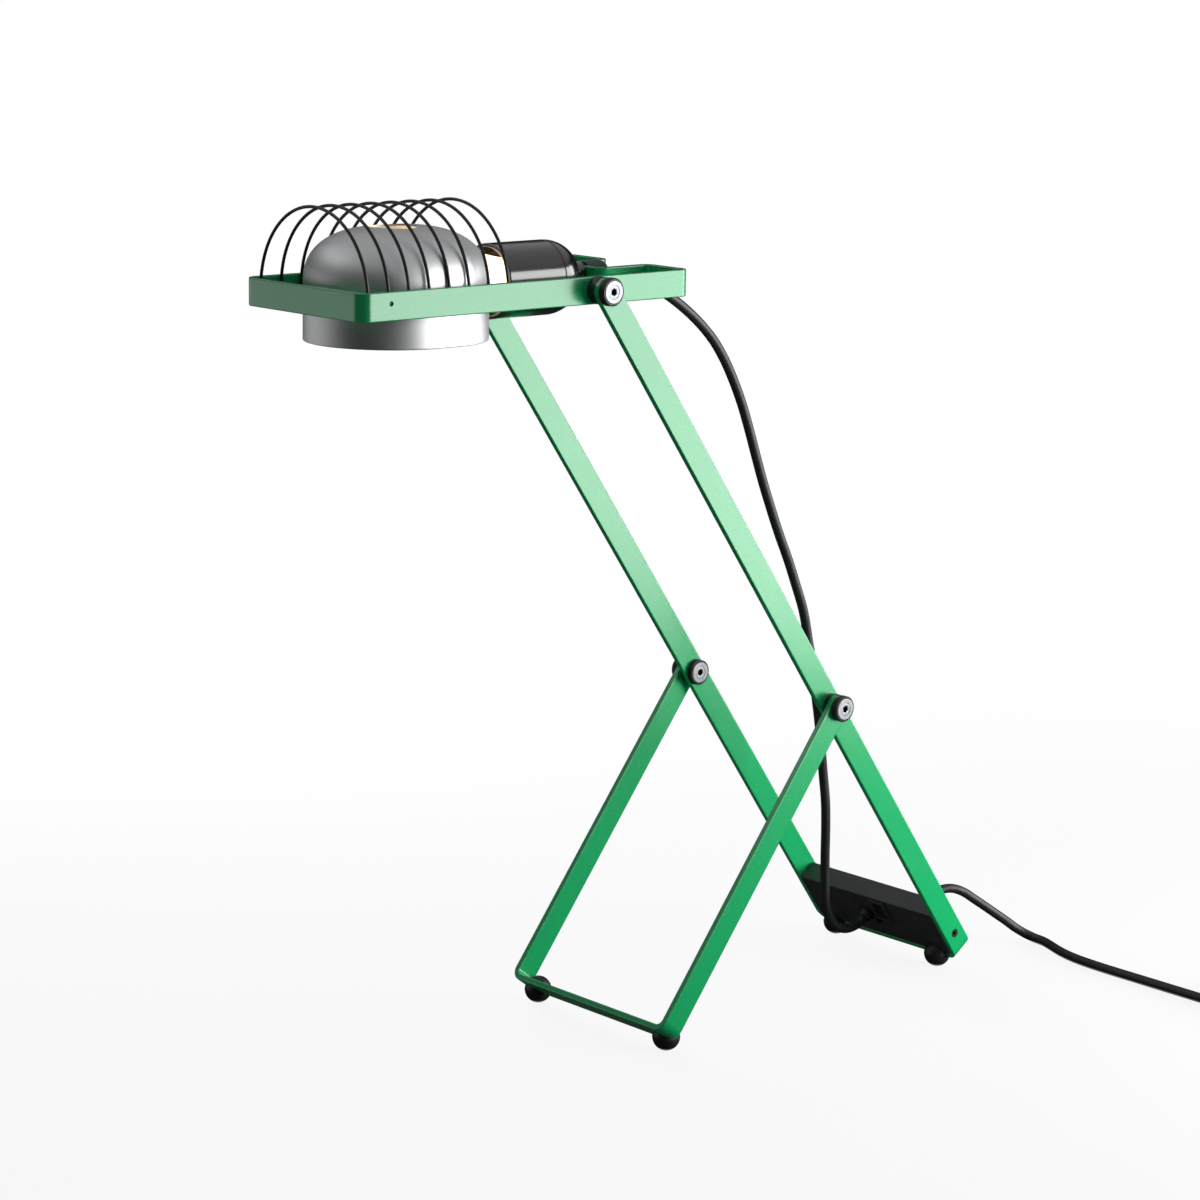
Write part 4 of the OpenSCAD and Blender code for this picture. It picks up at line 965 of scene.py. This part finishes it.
def dome(v, shrink):
    # radius goes as cos^p and height as sin^p of the same angle
    r, rise = headIn - v["gap"] - shrink, v["up"] - shrink - v["spring"]
    t = np.radians(np.linspace(0, 90, v["steps"]))
    curve = np.stack([r * np.cos(t) ** v["power"], v["spring"] + rise * np.sin(t) ** v["power"]], 1)
    curve[-1, 0] = 0
    return curve


def shadeSurface(v):
    # Outer dome, skirt, rounded lip, inner skirt, inner dome: this profile goes round two half circles, which
    # are set apart by the length of the middle part.
    outer, inner, w = dome(v, 0)[::-1], dome(v, v["wall"]), v["wall"] / 2
    turn = np.linspace(0, math.pi, v["lipSteps"])
    lip = np.stack([outer[-1, 0] - w + w * np.cos(turn), -v["down"] + w - w * np.sin(turn)], 1)
    levels = np.array([-6, -12, -18, -24, -v["down"] + 1.5])
    skirtOut = np.stack([np.full(len(levels), outer[-1, 0]), levels], 1)
    skirtIn = np.stack([np.full(len(levels), inner[0, 0]), levels[::-1]], 1)
    p = np.concatenate([outer, skirtOut, lip, skirtIn, inner])
    half = v["len"] / 2 - outer[-1, 0]
    a = np.linspace(0, math.pi, v["sides"] + 1)
    a = np.concatenate([a, a + math.pi])
    y = p[:, :1] * np.sin(a) + np.repeat([half, -half], v["sides"] + 1) - v["ahead"]
    points = np.stack([p[:, :1] * np.cos(a), y, np.repeat(p[:, 1:2], len(a), 1)], -1)
    return skin(points, along=lengthAlong(p))


shadeRear = shade["len"] / 2 - shade["ahead"]
make("reflector", aluminium, "head", "reflector", [shadeSurface(shade)], onHead, [[
    rod(shade["vent"], 20, 50, "z", (0, -shade["ahead"] - shade["ventAhead"], 0), 64),
    rod(shade["neck"], shadeRear - 16, shadeRear + 2, "y", axisUp, 64),
    rod(shade["stud"], -60, 60, "x", (0, -shade["ahead"], shade["studZ"]), 24)]])

# guard
guard = {"hoops": 8, "pitch": 15.0, "back": 9.0, "wire": 2.0, "up": 1.6, "steps": 48, "sides": 12,
         "clear": 0.05}


def guardShapes(v):
    # half circles of wire across the head, a rail along each side, and a short pin out to each wall
    w = v["wire"] / 2
    r = headIn - w - v["clear"]
    a = np.linspace(0, math.pi, v["steps"] + 1)
    y0 = -headFront + v["back"]
    hoops = [tube(np.stack([r * np.cos(a), np.full(len(a), y0 + k * v["pitch"]), v["up"] + r * np.sin(a)], 1),
                  w, v["sides"], [0, 1, 0]) for k in range(v["hoops"])]
    low, high = y0 - v["wire"], y0 + (v["hoops"] - 1) * v["pitch"] + v["wire"]
    rail = rod(v["wire"], low, high, "y", (r, 0, v["up"]), v["sides"], 0.5)
    pin = rod(v["wire"], r, headOut - 1, "x", (0, -headFront + holes["pinBack"], v["up"]), v["sides"], 0.4)
    return hoops + bothSides(rail, pin)


make("wireGuard", wireEnamel, "head", "wire_guard", guardShapes(guard), onHead)
print("head finished")

# the solids that stay as they are
kept = {
    "cover_screws": zinc, "side_screws": blackedSteel, "clamp_screw": blackedSteel, "cord_clamp": zinc,
    "terminal_block": steatite, "holder_insulator": steatite, "screw_shell": brass, "centre_contact": brass,
    "holder_nipple": zinc, "bulb_cap": capMetal, "reflector_studs": zinc, "reflector_nuts": zinc,
}
for nodeName, material in kept.items():
    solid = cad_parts[nodeName]
    solid.data.materials.clear()
    solid.data.materials.append(material)
print("solids dressed:", len(kept))

# floor, light and background
studio = {"floor": 60.0, "near": 0.5, "far": 1.2, "keep": 0.88, "matt": "#F6F6F6", "ambient": "#8E8E8E",
          "bounce": "#999999"}


def seenByEye(tree):
    # 1 for camera, glossy and transmission rays, which see the pale background; 0 for light that bounces
    path = add(tree, "LightPath")
    shine = add(tree, "Math", {0: path.outputs["Is Glossy Ray"], 1: path.outputs["Is Transmission Ray"]},
                operation="MAXIMUM")
    return add(tree, "Math", {0: path.outputs["Is Camera Ray"], 1: shine.outputs[0]},
               operation="MAXIMUM").outputs[0]


def paintedFloor(v):
    # Matt white studio floor: near the lamp it keeps the shadow, further out it runs into plain white.
    material, tree = startMaterial("paintedFloor")
    spot = add(tree, "TexCoord").outputs["Object"]
    away = add(tree, "VectorMath", {0: spot}, operation="LENGTH")
    fade = add(tree, "MapRange", {"Value": away.outputs["Value"], "From Min": v["near"],
                                            "From Max": v["far"], "To Min": v["keep"], "To Max": 1.0},
               interpolation_type="SMOOTHSTEP")
    matt = add(tree, "BsdfDiffuse", {"Color": ink(v["matt"])})
    white = add(tree, "Emission", {"Color": ink("#FFFFFF"), "Strength": 1.0})
    shown = add(tree, "MixShader", {0: fade.outputs["Result"], 1: matt.outputs[0], 2: white.outputs[0]})
    dim = add(tree, "BsdfDiffuse", {"Color": ink(v["bounce"])})
    return finishMaterial(material, tree, add(tree, "MixShader", {
        0: seenByEye(tree), 1: dim.outputs[0], 2: shown.outputs[0]}).outputs[0])


def sheet(name, corners, material):
    # one flat face through four corners, given in metres
    piece = makeObject(name, [(np.array(corners, float) / mm, [[0, 1, 2, 3]], np.zeros(4))])
    piece.data.materials.append(material)
    return piece


half = studio["floor"] / 2
sheet("floor", [[-half, -half, 0], [half, -half, 0], [half, half, 0], [-half, half, 0]],
               paintedFloor(studio))

world = bpy.data.worlds.new("studio")
scene.world = world
world.use_nodes = True
sky = world.node_tree
sky.nodes.clear()
tone = add(sky, "Mix", {0: seenByEye(sky), 6: ink(studio["ambient"]), 7: ink("#FFFFFF")},
           data_type="RGBA")
light = add(sky, "Background", {"Color": tone.outputs[2], "Strength": 1.0})
add(sky, "OutputWorld", {"Surface": light.outputs[0]})

softboxes = {
    "right": {"at": (0.58, 0.62, 0.13), "size": (0.6, 0.2), "watts": 7.2},
    "back": {"at": (-1.2, 0.5, 0.5), "size": (0.9, 0.9), "watts": 14.0},
}


def placeSoftbox(name, v, target=(0, 0, 0.3)):
    # a rectangle of light that faces the target, its top upwards
    data = bpy.data.lights.new(name, "AREA")
    data.shape = "RECTANGLE"
    data.size, data.size_y = v["size"]
    data.energy = v["watts"]
    softbox = bpy.data.objects.new(name, data)
    scene.collection.objects.link(softbox)
    back = np.array(v["at"]) - np.array(target)
    back /= np.linalg.norm(back)
    right = np.cross([0, 0, 1], back)
    right /= np.linalg.norm(right)
    softbox.matrix_world = axesAt(right, np.cross(back, right), back, v["at"])
    softbox.visible_camera = False
    softbox.visible_glossy = False


for boxName, settings in softboxes.items():
    placeSoftbox(boxName, settings)

# What shines back from the lamp: a dark tent round it, and bright cards that stand inside the tent.
tent = {"r": 1.6, "foot": 0.002, "top": 1.7, "sides": 64, "z0": 1.2, "z1": 1.6, "low": 0.02, "high": 0.5}
cards = {
    "right": {"angle": 41.5, "away": 1.2, "w": 1.5, "z0": 0.0, "z1": 1.0, "low": 5.5, "high": 6.0},
    "left": {"angle": 221.5, "away": 1.2, "w": 1.3, "z0": 0.0, "z1": 0.55, "low": 0.7, "high": 0.9},
    "leftHigh": {"angle": 221.5, "away": 1.2, "w": 1.3, "z0": 1.15, "z1": 1.65, "low": 1.3, "high": 1.6},
}


def onlyInShine(piece):
    # reflections see the piece, and nothing else does
    piece.visible_camera = piece.visible_diffuse = piece.visible_shadow = False
    piece.visible_transmission = piece.visible_volume_scatter = False


def cardPaint(name, v):
    # A lit card: evenly white across, brighter towards its top.
    material, tree = startMaterial(name)
    split = add(tree, "SeparateXYZ", {0: add(tree, "TexCoord").outputs["Object"]})
    level = add(tree, "MapRange", {"Value": split.outputs["Z"], "From Min": v["z0"],
                                             "From Max": v["z1"], "To Min": v["low"], "To Max": v["high"]})
    return finishMaterial(material, tree, add(tree, "Emission", {
        "Color": ink("#FFFFFF"), "Strength": level.outputs["Result"]}).outputs[0])


def standCard(name, v):
    # an upright sheet at its angle round the lamp, facing it
    angle = math.radians(v["angle"])
    x, y = v["away"] * math.cos(angle), v["away"] * math.sin(angle)
    dx, dy = -math.sin(angle) * v["w"] / 2, math.cos(angle) * v["w"] / 2
    corners = [[x - dx, y - dy, v["z0"]], [x + dx, y + dy, v["z0"]], [x + dx, y + dy, v["z1"]],
               [x - dx, y - dy, v["z1"]]]
    onlyInShine(sheet(name, corners, cardPaint(name, v)))


def raiseTent(v):
    # a closed drum round the lamp and over it
    profile = np.array([[0, v["foot"]], [v["r"], v["foot"]], [v["r"], v["top"]], [0, v["top"]]]) / mm
    piece = makeObject("tent", [lathe(profile, "z", sides=v["sides"])])
    piece.data.materials.append(cardPaint("tentCloth", v))
    onlyInShine(piece)


raiseTent(tent)
for cardName, settings in cards.items():
    standCard(cardName + "Card", settings)
print("studio lit")
